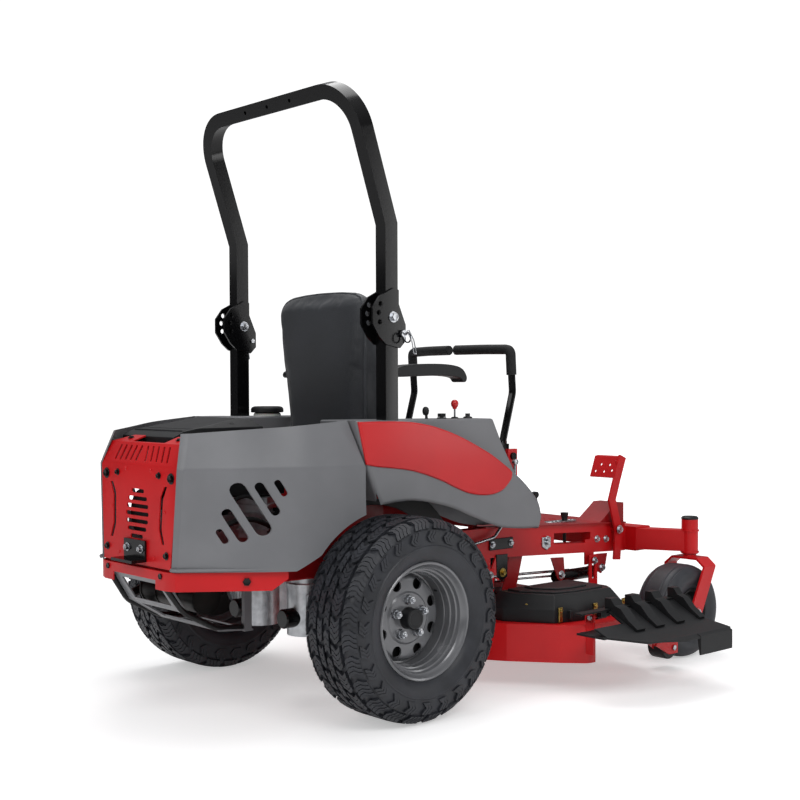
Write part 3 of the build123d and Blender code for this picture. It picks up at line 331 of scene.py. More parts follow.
def ease(piece, width, segments=2, angle=32):
    """Rounds the edges sharper than an angle."""
    return modify(piece, "BEVEL", width=width * MM, segments=segments, limit_method="ANGLE",
                  angle_limit=math.radians(angle))


def cut(piece, *cutters):
    """Takes cutters away from a piece."""
    for cutter in cutters:
        modify(piece, "BOOLEAN", operation="DIFFERENCE", object=cutter, solver="EXACT")
        bpy.data.objects.remove(cutter, do_unlink=True)
    return piece


def join(*pieces):
    """Several shapes as one piece."""
    clear()
    for piece in pieces:
        piece.select_set(True)
    bpy.context.view_layer.objects.active = pieces[0]
    bpy.ops.object.join()
    return pieces[0]


def copy(piece, move):
    """A copy with its own mesh, moved by a matrix; a mirrored one is turned right side out."""
    twin = piece.copy()
    twin.data = piece.data.copy()
    bpy.context.collection.objects.link(twin)
    twin.data.transform(move)
    if move.determinant() < 0:
        twin.data.flip_normals()
    return twin


def shift(x, y, z):
    """A move in millimetres."""
    return Matrix.Translation(Vector((x, y, z)) * MM)


MIRROR = Matrix.Diagonal((1, -1, 1, 1))


def seat_piece(name, piece, material, body="frame", stands_for=(), angle=30):
    """Finishes a piece: shading, material, its place in the machine, its body, and hides the nodes it stands for."""
    pick(piece)
    bpy.ops.object.shade_smooth_by_angle(angle=math.radians(angle))
    modify(piece, "WEIGHTED_NORMAL", keep_sharp=True)
    piece.name = name
    piece.data.name = name
    piece.data.transform(Matrix.Translation(ORIGIN) @ piece.matrix_world)
    piece.matrix_world = Matrix.Identity(4)
    piece.data.materials.clear()
    piece.data.materials.append(material)
    for face in piece.data.polygons:
        face.material_index = 0
    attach(piece, body)
    if stands_for:
        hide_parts(*stands_for)
    return piece


def pair(name, piece, material, bodies="frame", stands_for=(), angle=30):
    """A right-hand piece and its mirrored left-hand twin; bodies and nodes get _right and _left when they end in _."""
    def sided(word, side):
        return word + side if word.endswith("_") else word

    twin = copy(piece, MIRROR)
    for side, shape in (("right", piece), ("left", twin)):
        seat_piece(f"{name}_{side}", shape, material, sided(bodies, side),
                   [sided(node, side) for node in stands_for], angle)


def softened(node, width, material, body, name=None, segments=2, sharp=32):
    """A CAD node's own shape with its edges rounded: a merged copy, its flats cleared, then bevelled."""
    nearly_flat = math.radians(1.5)
    source = frame["nodes"][node]
    clear()
    bpy.ops.mesh.primitive_plane_add(size=MM)
    piece = bpy.context.object
    piece.data = source.data.copy()
    edit(piece, weld, lambda: bpy.ops.mesh.dissolve_limited(angle_limit=nearly_flat))
    ease(piece, width, segments, sharp)
    piece.data.transform(Matrix.Translation(-ORIGIN))
    return seat_piece(name or f"{node}_shell", piece, material, body, [node], sharp + 6)


# ------------------------------------------------------------------ drive tyres
TRACK = 500
TYRE_HALF = 119
TYRE_BASE = [(288.0, 0), (288.0, 52), (286.5, 74), (282.5, 90), (274, 101), (263, 108), (248, 112.5), (232, 114)]
PITCHES, TREAD_DEPTH, SIPE, SIPE_WAVE = 24, 10, 2.6, 3.2
BASE_TOP, RIB_ROOT = TREAD_DEPTH - 2.6, TREAD_DEPTH - 6
# Rows of blocks: from, to (distance from the crown line, over the shoulder), lean, stagger, gap, ribs.
TREAD_ROWS = ((-152, -119, 16, 0.50, 40, 3), (-114, -76, -12, 0.0, 20, 4), (-66, -30, 15, 0.45, 17, 4),
              (-22, -1, -9, 0.1, 20, 3), (8, 27, 9, 0.6, 20, 3), (35, 67, -15, 0.25, 17, 4),
              (76, 114, 12, 0.5, 20, 4), (119, 152, -16, 0.0, 40, 3))


def tyre_skin(distance):
    """Radius, side and outward direction of the carcass at a distance over it from the crown."""
    side = -1 if distance < 0 else 1
    left_over = abs(distance)
    for (r0, a0), (r1, a1) in zip(TYRE_BASE, TYRE_BASE[1:]):
        length = math.hypot(r1 - r0, a1 - a0)
        if left_over <= length or (r1, a1) == TYRE_BASE[-1]:
            share = left_over / length
            out = ((a1 - a0) / length, -(r1 - r0) / length)
            return r0 + (r1 - r0) * share, side * (a0 + (a1 - a0) * share), out[0], side * out[1]
        left_over -= length


def tread_pitch(pitch):
    """One pitch of the tread laid flat: each block is a base with wavy ribs on it."""
    shapes = []
    for start_at, end_at, lean, stagger, gap, ribs in TREAD_ROWS:
        middle = (start_at + end_at) / 2
        length = pitch - gap
        begin = stagger * pitch
        rib = (length - (ribs - 1) * SIPE) / ribs
        base = [(begin, start_at), (begin + lean, middle), (begin, end_at),
                (begin + length, end_at), (begin + length + lean, middle), (begin + length, start_at)]
        shapes.append(slab("Z", base, -4, BASE_TOP))
        near, far = (start_at + middle) / 2, (end_at + middle) / 2
        edge = [(0, start_at), (lean / 2 + SIPE_WAVE, near), (lean, middle), (lean / 2 - SIPE_WAVE, far), (0, end_at)]
        for k in range(ribs):
            u = begin + k * (rib + SIPE)
            line = [(u + d, s) for d, s in edge] + [(u + rib + d, s) for d, s in edge[::-1]]
            shapes.append(slab("Z", line, RIB_ROOT, TREAD_DEPTH))
    return join(*shapes)


def drive_tyre():
    """Right-hand turf tyre: a turned carcass with ridged walls and a blocky siped tread."""
    wall = [(222, 115.6), (219, 118), (214, 117.4), (211, 115.2), (200, 113), (190, 108.5), (182, 104), (176, 99),
            (171, 93)]
    half = TYRE_BASE + wall
    inner = [(160, 88), (178, 82), (205, 98), (240, 104), (262, 96), (272, 70)]
    profile = [(r, -a) for r, a in half[::-1]] + half[1:] + inner + [(r, -a) for r, a in inner[::-1]]
    tyre = turned("Y", profile, (0, 0, 0), 96)
    crown = TYRE_BASE[0][0]
    pitch = 2 * math.pi * crown / PITCHES
    tread = tread_pitch(pitch)
    modify(tread, "ARRAY", count=PITCHES, use_relative_offset=False, use_constant_offset=True,
           constant_offset_displace=(pitch * MM, 0, 0))
    for vertex in tread.data.vertices:
        turn = vertex.co.x / MM / crown
        radius, side, out_radius, out_side = tyre_skin(vertex.co.y / MM)
        rise = vertex.co.z / MM * (1 if abs(vertex.co.y / MM) < 90 else 0.7)
        radius, side = radius + out_radius * rise, side + out_side * rise
        side = max(-TYRE_HALF, min(TYRE_HALF, side))
        vertex.co = Vector((radius * math.cos(turn), side, radius * math.sin(turn))) * MM
    edit(tread, outward)
    tyre = join(tyre, tread)
    tyre.data.transform(shift(0, -TRACK, AXLE_HEIGHT))
    return tyre


pair("drive_tyre", drive_tyre(), tyre_compound, "wheel_", ["rear_tyre_"], 28)


# ------------------------------------------------------------------ drive rims and hubs
def drive_rim():
    """Right-hand stamped rim: rolled flanges, stepped bead seats, a deep dish and eight hand holes."""
    flange = [(150, 74), (152, 81), (157, 85), (160, 92), (164, 98), (169, 99.5), (172, 97), (172, 93), (166, 92),
              (158, 84), (155, 72)]
    steps = [(149, -71), (144.5, -69), (144, -55), (142.5, -52), (138.5, -50.5), (138, -30), (136, -27), (136, -2),
             (134, 5), (130, 6)]
    dish = steps + [(121, -10), (117, -13.5), (110, -15), (78, -16), (72, -20), (18, -20), (18, -8), (112, -9),
                    (130, 14), (140, 20), (150, 22)]
    profile = [(r, -a) for r, a in flange[::-1]] + dish + flange
    rim = turned("Y", profile, (0, 0, 0), 96)
    for i in range(8):
        turn = (i + 0.5) * math.pi / 4
        cut(rim, disc("Y", (104 * math.cos(turn), 0, 104 * math.sin(turn)), 17, -60, 60, 24))
    ease(rim, 1.2, 2, 30)
    rim.data.transform(shift(0, -TRACK, AXLE_HEIGHT))
    return rim


def around(count, radius, phase=0.0):
    """Places evenly spaced on a circle."""
    return [(radius * math.cos(phase + 2 * math.pi * i / count), radius * math.sin(phase + 2 * math.pi * i / count))
            for i in range(count)]


def wheel_hardware():
    """Lug nuts on tapered seats, each with its stud's end."""
    shapes = []
    for x, z in around(5, 54, math.pi / 2):
        stud = (x, 0, z + AXLE_HEIGHT)
        shapes.append(turned("Y", [(0, -520), (15, -520), (15, -523), (12, -528), (0, -528)], stud, 16))
        shapes.append(ease(nut("Y", stud, 11.5, -526, -540), 1, 1))
        shapes.append(disc("Y", stud, 6, -548, -538, 12, 1.5))
    return join(*shapes)


pair("drive_rim", drive_rim(), grey_enamel, "wheel_", ["rear_rim_"], 30)
pair("lug_nuts", wheel_hardware(), zinc_plate, "wheel_", angle=25)
AXLE = (0, 0, AXLE_HEIGHT)
cap = turned("Y", [(0, -516), (33, -516), (33, -520), (31, -521), (31, -551), (29, -554), (23, -554), (21, -552.5),
                   (0, -552.5)], AXLE, 40)
pair("hub_cap", cap, black_polypropylene, "wheel_")
hub = join(disc("Y", AXLE, 70, -508, -494, 40, 2), disc("Y", AXLE, 34, -496, -420, 32, 2),
           disc("Y", AXLE, 16, -500, -300, 24, 1),
           turned("Y", [(60, -494), (146, -494), (146, -490), (60, -490)], AXLE, 48))
pair("hub_flange", hub, black_matt_enamel, "wheel_")
VALVE_Z = AXLE_HEIGHT + 68
valve = join(pipe([(118, -504, VALVE_Z - 2), (124, -522, VALVE_Z), (126, -540, VALVE_Z)], 3.5, 6),
             disc("Y", (126, 0, VALVE_Z), 5, -548, -536, 12, 1))
pair("valve_stem", valve, black_polypropylene, "wheel_", angle=35)


# ------------------------------------------------------------------ casters
CASTER_X, CASTER_Y, CASTER_Z = 1310, 505, 165
CASTER_BOLT = (CASTER_X, 0, CASTER_Z)


def caster_tyre():
    """Smooth semi-pneumatic tyre with a crown and two fine ribs on each shoulder."""
    half = [(165, 0), (165, 26), (163, 29), (164, 34), (161, 45), (157, 49), (157.5, 53), (151, 62), (140, 71),
            (128, 74.5), (114, 74), (102, 70), (94, 66), (84, 64), (79, 60)]
    profile = [(r, -a) for r, a in half[::-1]] + half[1:] + [(76, 50), (76, -50)]
    return turned("Y", profile, (CASTER_X, -CASTER_Y, CASTER_Z), 72)


def caster_rim():
    """Dished steel centre with its bearing tube and rolled edges."""
    half = [(10.3, 74), (22, 74), (24, 72), (24, 40), (40, 26), (60, 30), (70, 44), (72, 60), (78, 67), (82, 66),
            (82, 62), (76, 56), (76, 0)]
    profile = half + [(r, -a) for r, a in half[::-1][1:]]
    return turned("Y", profile, (CASTER_X, -CASTER_Y, CASTER_Z), 56)


pair("caster_tyre", caster_tyre(), tyre_compound, "caster_roll_", ["caster_wheel_"], 30)
pair("caster_rim", caster_rim(), black_matt_enamel, "caster_roll_")

for side in ("right", "left"):
    softened(f"caster_fork_{side}", 2.0, red_powder_coat, f"caster_{side}", f"caster_fork_plate_{side}")
bolts = []
for out in (-1, 1):
    side_y = -CASTER_Y + out * 88.2
    bolts.append(disc("Y", CASTER_BOLT, 17, *sorted((side_y, side_y + out * 3)), 24, 0.8))
    bolts.append(ease(nut("Y", CASTER_BOLT, 14, side_y + out * 2, side_y + out * 7.8), 0.8, 1))
    bolts.append(disc("Y", CASTER_BOLT, 8, *sorted((side_y + out * 6, side_y + out * 12)), 16, 1))
pair("caster_bolts", join(*bolts), zinc_plate, "caster_", angle=25)
spacer = join(disc("Y", CASTER_BOLT, 13, -CASTER_Y - 80, -CASTER_Y - 74.4, 20, 0.5),
              disc("Y", CASTER_BOLT, 13, -CASTER_Y + 74.4, -CASTER_Y + 80, 20, 0.5))
pair("caster_spacers", spacer, zinc_plate, "caster_", angle=25)


# ------------------------------------------------------------------ body panels
def flow(points, count):
    """Places along a smooth curve through points."""
    ends = [points[0]] + list(points) + [points[-1]]
    curve = []
    spans = len(points) - 1
    for i in range(count):
        spot = i / (count - 1) * spans
        k = min(int(spot), spans - 1)
        t = spot - k
        a, b, c, d = ends[k:k + 4]
        curve.append(tuple(0.5 * (2 * q + (r - p) * t + (2 * p - 5 * q + 4 * r - s) * t * t
                                  + (3 * q - p - 3 * r + s) * t ** 3) for p, q, r, s in zip(a, b, c, d)))
    return curve


def sheet(rows):
    """A surface through rows of points, from a subdivided grid."""
    clear()
    bpy.ops.mesh.primitive_grid_add(x_subdivisions=len(rows[0]) - 1, y_subdivisions=len(rows) - 1, size=1)
    surface = bpy.context.object
    places = [point for row in rows for point in row]
    for vertex, point in zip(surface.data.vertices, places):
        vertex.co = Vector(point) * MM
    return surface


def rounded_slot(x, z, length, width, degrees):
    """Outline of a slot with round ends, leaning by an angle."""
    reach, half = (length - width) / 2, width / 2
    lean = math.radians(degrees)
    outline = []
    for side in (1, -1):
        for k in range(7):
            turn = math.radians(-90 + 30 * k)
            u, v = side * (reach + half * math.cos(turn)), side * half * math.sin(turn)
            outline.append((x + u * math.cos(lean) - v * math.sin(lean), z + u * math.sin(lean) + v * math.cos(lean)))
    return outline


def round_rim(piece, axis, place, width, segments=3):
    """Rounds the edges that lie in one plane across an axis."""
    number = "XYZ".index(axis)
    clear()
    for edge in piece.data.edges:
        edge.select = all(abs(piece.data.vertices[i].co[number] / MM - place) < 0.3 for i in edge.vertices)
    for face in piece.data.polygons:
        face.select = False
    for vertex in piece.data.vertices:
        vertex.select = False
    pick(piece)
    bpy.context.tool_settings.mesh_select_mode = (False, True, False)
    bpy.ops.object.mode_set(mode="EDIT")
    bpy.ops.mesh.bevel(offset=width * MM, segments=segments, affect="EDGES", clamp_overlap=True)
    bpy.ops.object.mode_set(mode="OBJECT")
    bpy.context.tool_settings.mesh_select_mode = (True, False, False)
    return piece


PANEL_FOOT = [(-597, -196), (-590, -210), (-578, -222), (-480, -296), (-332, -400), (-215, -432), (-100, -450)]
PANEL_CREASE = [(-590, -218), (-582, -233), (-566, -248), (-470, -314), (-330, -402), (-215, -434), (-100, -450)]
PANEL_TOP = [(-548, -180), (-538, -198), (-518, -216), (-430, -282), (-320, -368), (-215, -398), (-110, -412)]
PANEL_SLOTS = ((-427, 631, 165, 40), (-388, 659, 104, 24), (-356, 689, 52, 18), (-462, 586, 104, 26),
               (-490, 556, 46, 18))
FACET_START, FACET_RISE = 474, 0.40
PANEL_LOW, PANEL_FOLD, PANEL_HIGH = 455, 745, 878


def panel_row(height):
    """The plan line of the side panel at a height, smooth round its rear corner."""
    if height <= PANEL_FOLD:
        share = (height - PANEL_LOW) / (PANEL_FOLD - PANEL_LOW)
        low, high = PANEL_FOOT, PANEL_CREASE
    else:
        share = (height - PANEL_FOLD) / (PANEL_HIGH - PANEL_FOLD)
        low, high = PANEL_CREASE, PANEL_TOP
    line = [tuple(p + (q - p) * share for p, q in zip(a, b)) for a, b in zip(low, high)]
    row = []
    for x, y in flow(line, 49):
        drop = max(0.0, FACET_START + FACET_RISE * (x + 540) - height) if x > -560 else 0.0
        row.append((x - 0.05 * drop, y - 0.11 * drop, height))
    return row


def side_panel():
    """Right-hand engine cover: shouldered, wrapped round the rear corner, with five leaning slots."""
    heights = (455, 458, 463, 470, 480, 492, 504, 516, 528, 540, 552, 564, 576, 588, 602, 620, 650, 700, 730, 740,
               745, 750, 760, 790, 830, 858, 868, 878)
    panel = sheet([panel_row(z) for z in heights])
    modify(panel, "SOLIDIFY", thickness=4 * MM, offset=-1)
    edit(panel, outward)
    front = [(-136, 905), (-136, 874), (-103, 746), (-46, 620), (-60, 600), (-335, 450), (-335, 430), (20, 430),
             (20, 905)]
    cutters = [slab("Y", front, -520, -300),
               slab("Y", [(-640, 835), (-120, 875.5), (-120, 905), (-640, 905)], -520, -100),
               disc("Y", (0, 0, AXLE_HEIGHT), 320, -520, -300, 96)]
    cutters += [slab("Y", rounded_slot(x, z, length, width, -62), -500, -220)
                for x, z, length, width in PANEL_SLOTS]
    cut(panel, *cutters)
    return ease(panel, 1.6, 2, 45)


# The panel's turned-under foot: a bead along its lower edge.
foot_line = [(x - 4, y - 3, 462) for x, y in flow(PANEL_FOOT, 40) if x < -338]
pair("side_panel_bead", pipe(foot_line, 5, 8), grey_polyethylene, angle=60)
pair("side_panel_skin", side_panel(), grey_polyethylene, "frame", ["side_panel_"], 30)

POD_TOP = [(-128, 874), (80, 868), (237, 835), (400, 768), (516, 702), (572, 667), (644, 598), (664, 540)]
POD_WAVE = [(650, 503), (560, 506), (456, 520), (340, 560), (236, 598), (91, 626), (-38, 620)]
CONSOLE = [(-128, 874), (475, 868), (515, 790), (600, 655), (640, 590), (648, 506)]
POD_OUT, POD_STEP, POD_IN = -446, -402, -266


def pod():
    """Right-hand fender pod: rolled outer shoulder, raised console inside, open wheel house below."""
    outer = slab("Y", flow(POD_TOP, 36) + flow(POD_WAVE, 30) + [(-95, 746)], POD_OUT, POD_STEP + 6)
    round_rim(outer, "Y", POD_OUT, 15, 5)
    inner = slab("Y", CONSOLE + flow(POD_WAVE[1:], 24) + [(-95, 746)], POD_STEP, POD_IN)
    ease(inner, 7, 3, 25)
    hollow = slab("Y", [(-34, 600), (-78, 742), (-84, 800), (200, 796), (400, 720), (560, 600), (640, 560),
                        (644, 480), (-34, 480)], POD_OUT + 5, POD_IN - 5)
    modify(outer, "BOOLEAN", operation="UNION", object=inner, solver="EXACT")
    bpy.data.objects.remove(inner, do_unlink=True)
    post = box(8, 62, -416, -364, 640, 900)
    nose_slot = slab("Y", rounded_slot(612, 646, 62, 17, -52), POD_OUT - 20, POD_OUT + 9)
    return cut(outer, hollow, post, nose_slot)


pod_right = pod()
pod_left = copy(pod_right, MIRROR)
CHOKE, KEY, PTO, FUEL_CAP = (372, -330, 0), (310, -335, 0), (430, -330, 0), (102, 322, 0)
cut(pod_right, box(226, 276, -333, -327, 800, 900), disc("Z", CHOKE, 4, 800, 900, 16),
    disc("Z", KEY, 7, 800, 900, 16), disc("Z", PTO, 7, 800, 900, 16))
cut(pod_left, disc("Z", FUEL_CAP, 29, 780, 900, 32))
for side, skin in (("right", pod_right), ("left", pod_left)):
    seat_piece(f"fender_skin_{side}", skin, grey_polyethylene, "frame", [f"fender_{side}"], 32)

TRIM_TOP = [(-126, 871), (80, 866), (237, 833), (400, 766), (500, 708)]
TRIM_WAVE = [(509, 672), (470, 640), (411, 628), (330, 636), (260, 660), (194, 687), (80, 720), (-57, 738),
             (-95, 746)]
trim = slab("Y", flow(TRIM_TOP, 30) + [(513, 697), (514, 686)] + flow(TRIM_WAVE, 40), -452.5, -444)
round_rim(trim, "Y", -452.5, 6, 4)
pair("fender_trim", trim, red_gloss_asa, "frame", ["fender_trims"], 34)

# Painted shade: a dark sheet inside the wheel arch, behind the tyre's top.
arch = [(r * math.cos(math.radians(a)), r * math.sin(math.radians(a)) + AXLE_HEIGHT)
        for r, turns in ((318, range(20, 150, 5)), (392, range(145, 15, -5))) for a in turns]
pair("arch_painted_shade_sheet", ease(slab("Y", arch, -352, -346), 2, 1), bay_painted_shade)

# ------------------------------------------------------------------ sheet-metal and cast parts, edges eased
SOFTENED = (
    (red_powder_coat, "frame", {"rear_guard": 1.2, "rear_strip": 1.2, "front_axle": 5.0, "frame_rail_right": 2.5,
                                "frame_rail_left": 2.5}),
    # Engine frame and floor pan wear the red with painted shade.
    (red_coat_painted_shade, "frame", {"engine_frame": 1.4, "floor_pan": 1.2}),
    (grey_polyethylene, "frame", {"under_guard": 1.4}),
    (black_enamel, "frame", {"hitch_bracket": 1.2, "rops_post_right": 2.2, "rops_post_left": 2.2}),
    (black_enamel, "hoop", {"rops_hoop": 7.0}),
    (black_polypropylene, "frame", {"air_cleaner": 9.0, "engine_shroud": 6.0}),
    (cast_aluminium, "frame", {"engine_block": 2.0, "transaxle_right": 3.0, "transaxle_left": 3.0}),
    (sooted_steel, "frame", {"muffler": 3.0}),
    (red_powder_coat, "deck", {"deck_shell": 1.6}), (black_polypropylene, "deck", {"belt_covers": 3.0}),
    (epdm_rubber, "chute", {"discharge_chute": 1.6}), (red_powder_coat, "pedal", {"lift_pedal": 1.2}),
    (black_enamel, "drive_right", {"lever_pivot_right": 1.2}), (black_enamel, "drive_left", {"lever_pivot_left": 1.2}),
    (black_matt_enamel, "seat", {"seat_base": 1.2}), (black_enamel, "brake", {"brake_handle": 1.2}),
    (black_polypropylene, "rollers", {"deck_rollers": 5.0}), (black_polypropylene, "cap", {"fuel_cap": 3.0}),
)
for material, body, widths in SOFTENED:
    for node, width in widths.items():
        softened(node, width, material, body, segments=4 if width > 4 else 2)


# ------------------------------------------------------------------ seat
def ramped(table, at):
    """A value read off a table of place, value pairs."""
    for (p, a), (q, b) in zip(table, table[1:]):
        if at <= q:
            share = max(0.0, (at - p) / (q - p))
            return a + (b - a) * share
    return table[-1][1]


def stuffed(piece, cap):
    """Fills a closed cover as foam does: remeshed, swollen as cloth under pressure, its travel capped."""
    modify(piece, "REMESH", mode="VOXEL", voxel_size=6 * MM)
    before = [vertex.co.copy() for vertex in piece.data.vertices]
    pick(piece)
    filling = piece.modifiers.new("Filling", "CLOTH")
    filling.settings.use_pressure = True
    filling.settings.uniform_pressure_force = 4
    filling.settings.effector_weights.gravity = 0
    filling.point_cache.frame_end = 20
    for step in range(1, 21):
        bpy.context.scene.frame_set(step)
    bpy.ops.object.modifier_apply(modifier=filling.name)
    bpy.context.scene.frame_set(1)
    for vertex, start in zip(piece.data.vertices, before):
        travel = vertex.co - start
        if travel.length > cap * MM:
            vertex.co = start + travel.normalized() * cap * MM
    modify(piece, "SMOOTH", iterations=4, factor=0.5)
    return modify(piece, "SUBSURF", levels=1, render_levels=1)


BACK_REAR = [(660, 104), (860, 92), (1120, 74), (1230, 72), (1282, 92)]
BACK_FRONT = [(660, 112), (790, 112), (818, 222), (880, 252), (960, 246), (1060, 220), (1160, 182), (1250, 142),
              (1288, 112)]
BACK_HALF = [(-196, 664), (-202, 760), (-206, 880), (-212, 980), (-221, 1070), (-224, 1160), (-220, 1222),
             (-202, 1258), (-165, 1276), (-100, 1282), (0, 1283)]


def backrest():
    """High back: soft rear panel, side bolsters that stand forward, a dished middle."""
    outline = flow(BACK_HALF, 30)
    outline += [(-y, z) for y, z in outline[-2::-1]]
    form = slab("X", outline, -50, 50)
    modify(form, "REMESH", mode="VOXEL", voxel_size=9 * MM)
    for vertex in form.data.vertices:
        x, y, z = vertex.co / MM
        rear, front = ramped(BACK_REAR, z), ramped(BACK_FRONT, z)
        half = max(40, -ramped([(height, side) for side, height in BACK_HALF], z))
        edge = min(abs(y) / half, 1)
        bolster = 0.72 + 0.28 * math.exp(-((edge - 0.78) / 0.15) ** 2)
        deep = (front - rear) * bolster * (1 - 0.22 * edge ** 8)
        middle = rear + 16 * edge ** 5
        vertex.co.x = (middle + deep * (x + 50) / 100) * MM
    return stuffed(form, 9)


def cushion():
    """Seat cushion: crowned, waterfall front, bolsters along both sides."""
    outline = [(-214, 130), (-222, 160), (-224, 300), (-222, 470), (-208, 512), (-170, 530), (0, 534)]
    outline = flow(outline, 24)
    plan = [(x, y) for y, x in outline] + [(x, -y) for y, x in outline[-2::-1]]
    form = slab("Z", plan, 664, 780)
    modify(form, "REMESH", mode="VOXEL", voxel_size=9 * MM)
    for vertex in form.data.vertices:
        x, y, z = vertex.co / MM
        rise = (z - 664) / 116
        bolster = 12 * math.exp(-((abs(y) - 175) / 30) ** 2) - 8 * math.exp(-(y / 110) ** 2)
        waterfall = -34 * max(0.0, (x - 440) / 94) ** 2
        vertex.co.z += rise * (bolster + waterfall) * MM
    hinge_room = [box(462, 560, -164, -126, 640, 672), box(462, 560, 126, 164, 640, 672)]
    return stuffed(cut(form, *hinge_room), 9)


def piping(cover, half, radius=4.2):
    """A welt laid along the nearest line on a cover, from one half of its route to the mirrored one."""
    route = half + [(x, -y, z) for x, y, z in half[-2::-1]]
    held = [cover.closest_point_on_mesh(Vector(point) * MM)[1] / MM for point in flow(route, 60)]
    return pipe([tuple(point) for point in held], radius, 5)


back, squab = backrest(), cushion()
rear_welt = [(112, -199, 700), (104, -212, 860), (98, -218, 1000), (90, -228, 1130), (88, -216, 1236),
             (92, -160, 1276), (92, 0, 1286)]
front_welt = [(200, -140, 835), (225, -140, 900), (215, -140, 1010), (175, -146, 1130), (135, -128, 1220),
              (122, 0, 1240)]
squab_welt = [(140, -140, 790), (300, -140, 800), (440, -138, 796), (520, -120, 770), (532, 0, 765)]
rim_welt = [(150, -226, 775), (300, -230, 780), (460, -226, 772), (516, -205, 750), (536, -120, 735), (540, 0, 735)]
welts = join(piping(back, rear_welt), piping(back, front_welt, 3.2), piping(squab, squab_welt, 3.2),
             piping(squab, rim_welt))
seat_piece("backrest_cover", back, charcoal_vinyl, "seat", ["seat_back"], 60)
seat_piece("seat_cushion_cover", squab, charcoal_vinyl, "seat", ["seat_cushion"], 60)
# The welts' lighter grey is partly a painted highlight along the seat's edges.
seat_piece("seat_piping", welts, piping_vinyl_painted_highlight, "seat", angle=60)

ARM_PIVOT = (165, 0, 1015)
pins = join(disc("Y", ARM_PIVOT, 8, -262, -190, 16, 1), disc("Y", ARM_PIVOT, 8, 190, 262, 16, 1))
seat_piece("armrest_pins", pins, zinc_plate, "seat", angle=35)


def armrest():
    """Right-hand moulded armrest: fat drooping pad over a ribbed arm that turns on the backrest's pin."""
    pad = slab("Y", flow([(150, 1022), (190, 1038), (280, 1044), (380, 1043), (440, 1032), (464, 1006), (462, 988),
                          (448, 986), (430, 1000), (360, 1006), (250, 1004), (160, 1002), (146, 1012), (150, 1022)],
                         44)[:-1], -293, -237)
    ease(pad, 13, 4, 40)
    arm = slab("Y", flow([(144, 1015), (158, 1032), (230, 1020), (330, 1012), (420, 1006), (424, 998), (330, 990),
                          (240, 978), (176, 974), (150, 988), (144, 1015)], 36)[:-1], -282, -246)
    ease(arm, 3, 2, 40)
    boss = disc("Y", ARM_PIVOT, 17, -286, -240, 24, 2)
    return join(pad, arm, boss)


rest = armrest()
cut(rest, disc("Y", ARM_PIVOT, 8.3, -262.5, -200, 24))
pair("armrest_pad", rest, black_polypropylene, "rest_", ["armrest_"], 40)

# ------------------------------------------------------------------ lap bars
foot = ease(box(658.5, 685.5, -261.5, -241.5, 747, 787), 3, 2)
cut(foot, disc("X", (0, -251.5, 761), 6.1, 640, 700, 20))
rod = bar([(672, -251.5, 778), (722, -251.5, 950), (712, -251.5, 1085), (706, -235, 1099)], 12.5, 26, 10)
pair("lap_bar_tube", join(foot, rod), black_enamel, "bar_", ["lap_bar_"], 40)
grip = bar([(717, -251.5, 1010), (712, -251.5, 1097), (692, -140, 1099), (678, -17, 1099)], 17.5, 42, 12)
cap_end = disc("Y", (678, 0, 1099), 15.5, -18.5, -15.8, 24, 1.5)
pair("lap_bar_grip", join(ease(grip, 3, 3, 50), cap_end), black_foam, "bar_", angle=45)

# ------------------------------------------------------------------ roll-over hoop hardware
HINGE_Y, HOOP_PIVOT = 390, (35, 0, 1179)
clip = bar([(80, -430, 1136), (80, -436, 1130), (92, -438, 1108), (100, -438, 1070), (110, -438, 1070),
            (102, -436, 1110), (84, -433, 1142), (74, -431, 1132)], 1.8, 6, 8)
pair("hairpin_clip", clip, zinc_plate, "pin_", angle=60)
pull_ring = turned("X", [(13, -1.8), (16.6, -1.8), (16.6, 1.8), (13, 1.8)], (69, -445, 1118), 24)
pair("pin_pull_ring", pull_ring, zinc_plate, "pin_", angle=60)
hinge_bolt = [disc("Y", HOOP_PIVOT, 17, -421.8, -419.4, 24, 0.6), ease(nut("Y", HOOP_PIVOT, 13, -421, -430), 0.8, 1),
              disc("Y", HOOP_PIVOT, 17, -360.4, -357.8, 24, 0.6), ease(nut("Y", HOOP_PIVOT, 13, -358, -347), 0.8, 1)]
pair("hinge_bolt", join(*hinge_bolt), zinc_plate, angle=25)
foot_bolts = [ease(nut("Z", (x, -HINGE_Y + 4, 0), 11, 653, 664), 0.8, 1) for x in (-16, 86)]
pair("hoop_foot_bolts", join(*foot_bolts), zinc_plate, angle=25)


# ------------------------------------------------------------------ rear: guard, strip, hitch, silencer
def bolt_row(axis, places, radius, low, high, washer=True):
    """Hexagon bolts facing along an axis, each on its washer; low is the seat and high the head's top."""
    shapes = []
    for place in places:
        step = 2 if high > low else -2
        if washer:
            shapes.append(disc(axis, place, radius * 1.45, *sorted((low, low + step)), 20, 0.5))
        shapes.append(ease(nut(axis, place, radius, low + step * 0.9, high), 0.7, 1))
    return join(*shapes)


def guard_face(z):
    """X of the guard's outer skin at a height."""
    return ramped([(460, -596), (743, -586), (811, -558), (829, -507)], z)


face_bolts = [bolt_row("X", [(guard_face(z) - 0.5, y, z)], radius, 0, -7) for y, z, radius in
              ((-184, 716, 11), (184, 716, 11), (-118, 722, 7), (118, 722, 7), (-168, 498, 8), (168, 498, 8))]
seat_piece("guard_bolts", join(*face_bolts), black_enamel, angle=25)
rivets = [disc("X", (guard_face(z), y, z), 5, -3, 0.5, 16, 1.5)
          for y, z in ((-70, 735), (70, 735), (-152, 620), (152, 620), (-100, 486), (100, 486))]
seat_piece("guard_rivets", join(*rivets), red_powder_coat, angle=25)

seat_piece("guard_lip_bolts", bolt_row("Z", [(-530, 136, 0), (-530, -136, 0)], 8, 821, 827), black_enamel, angle=25)

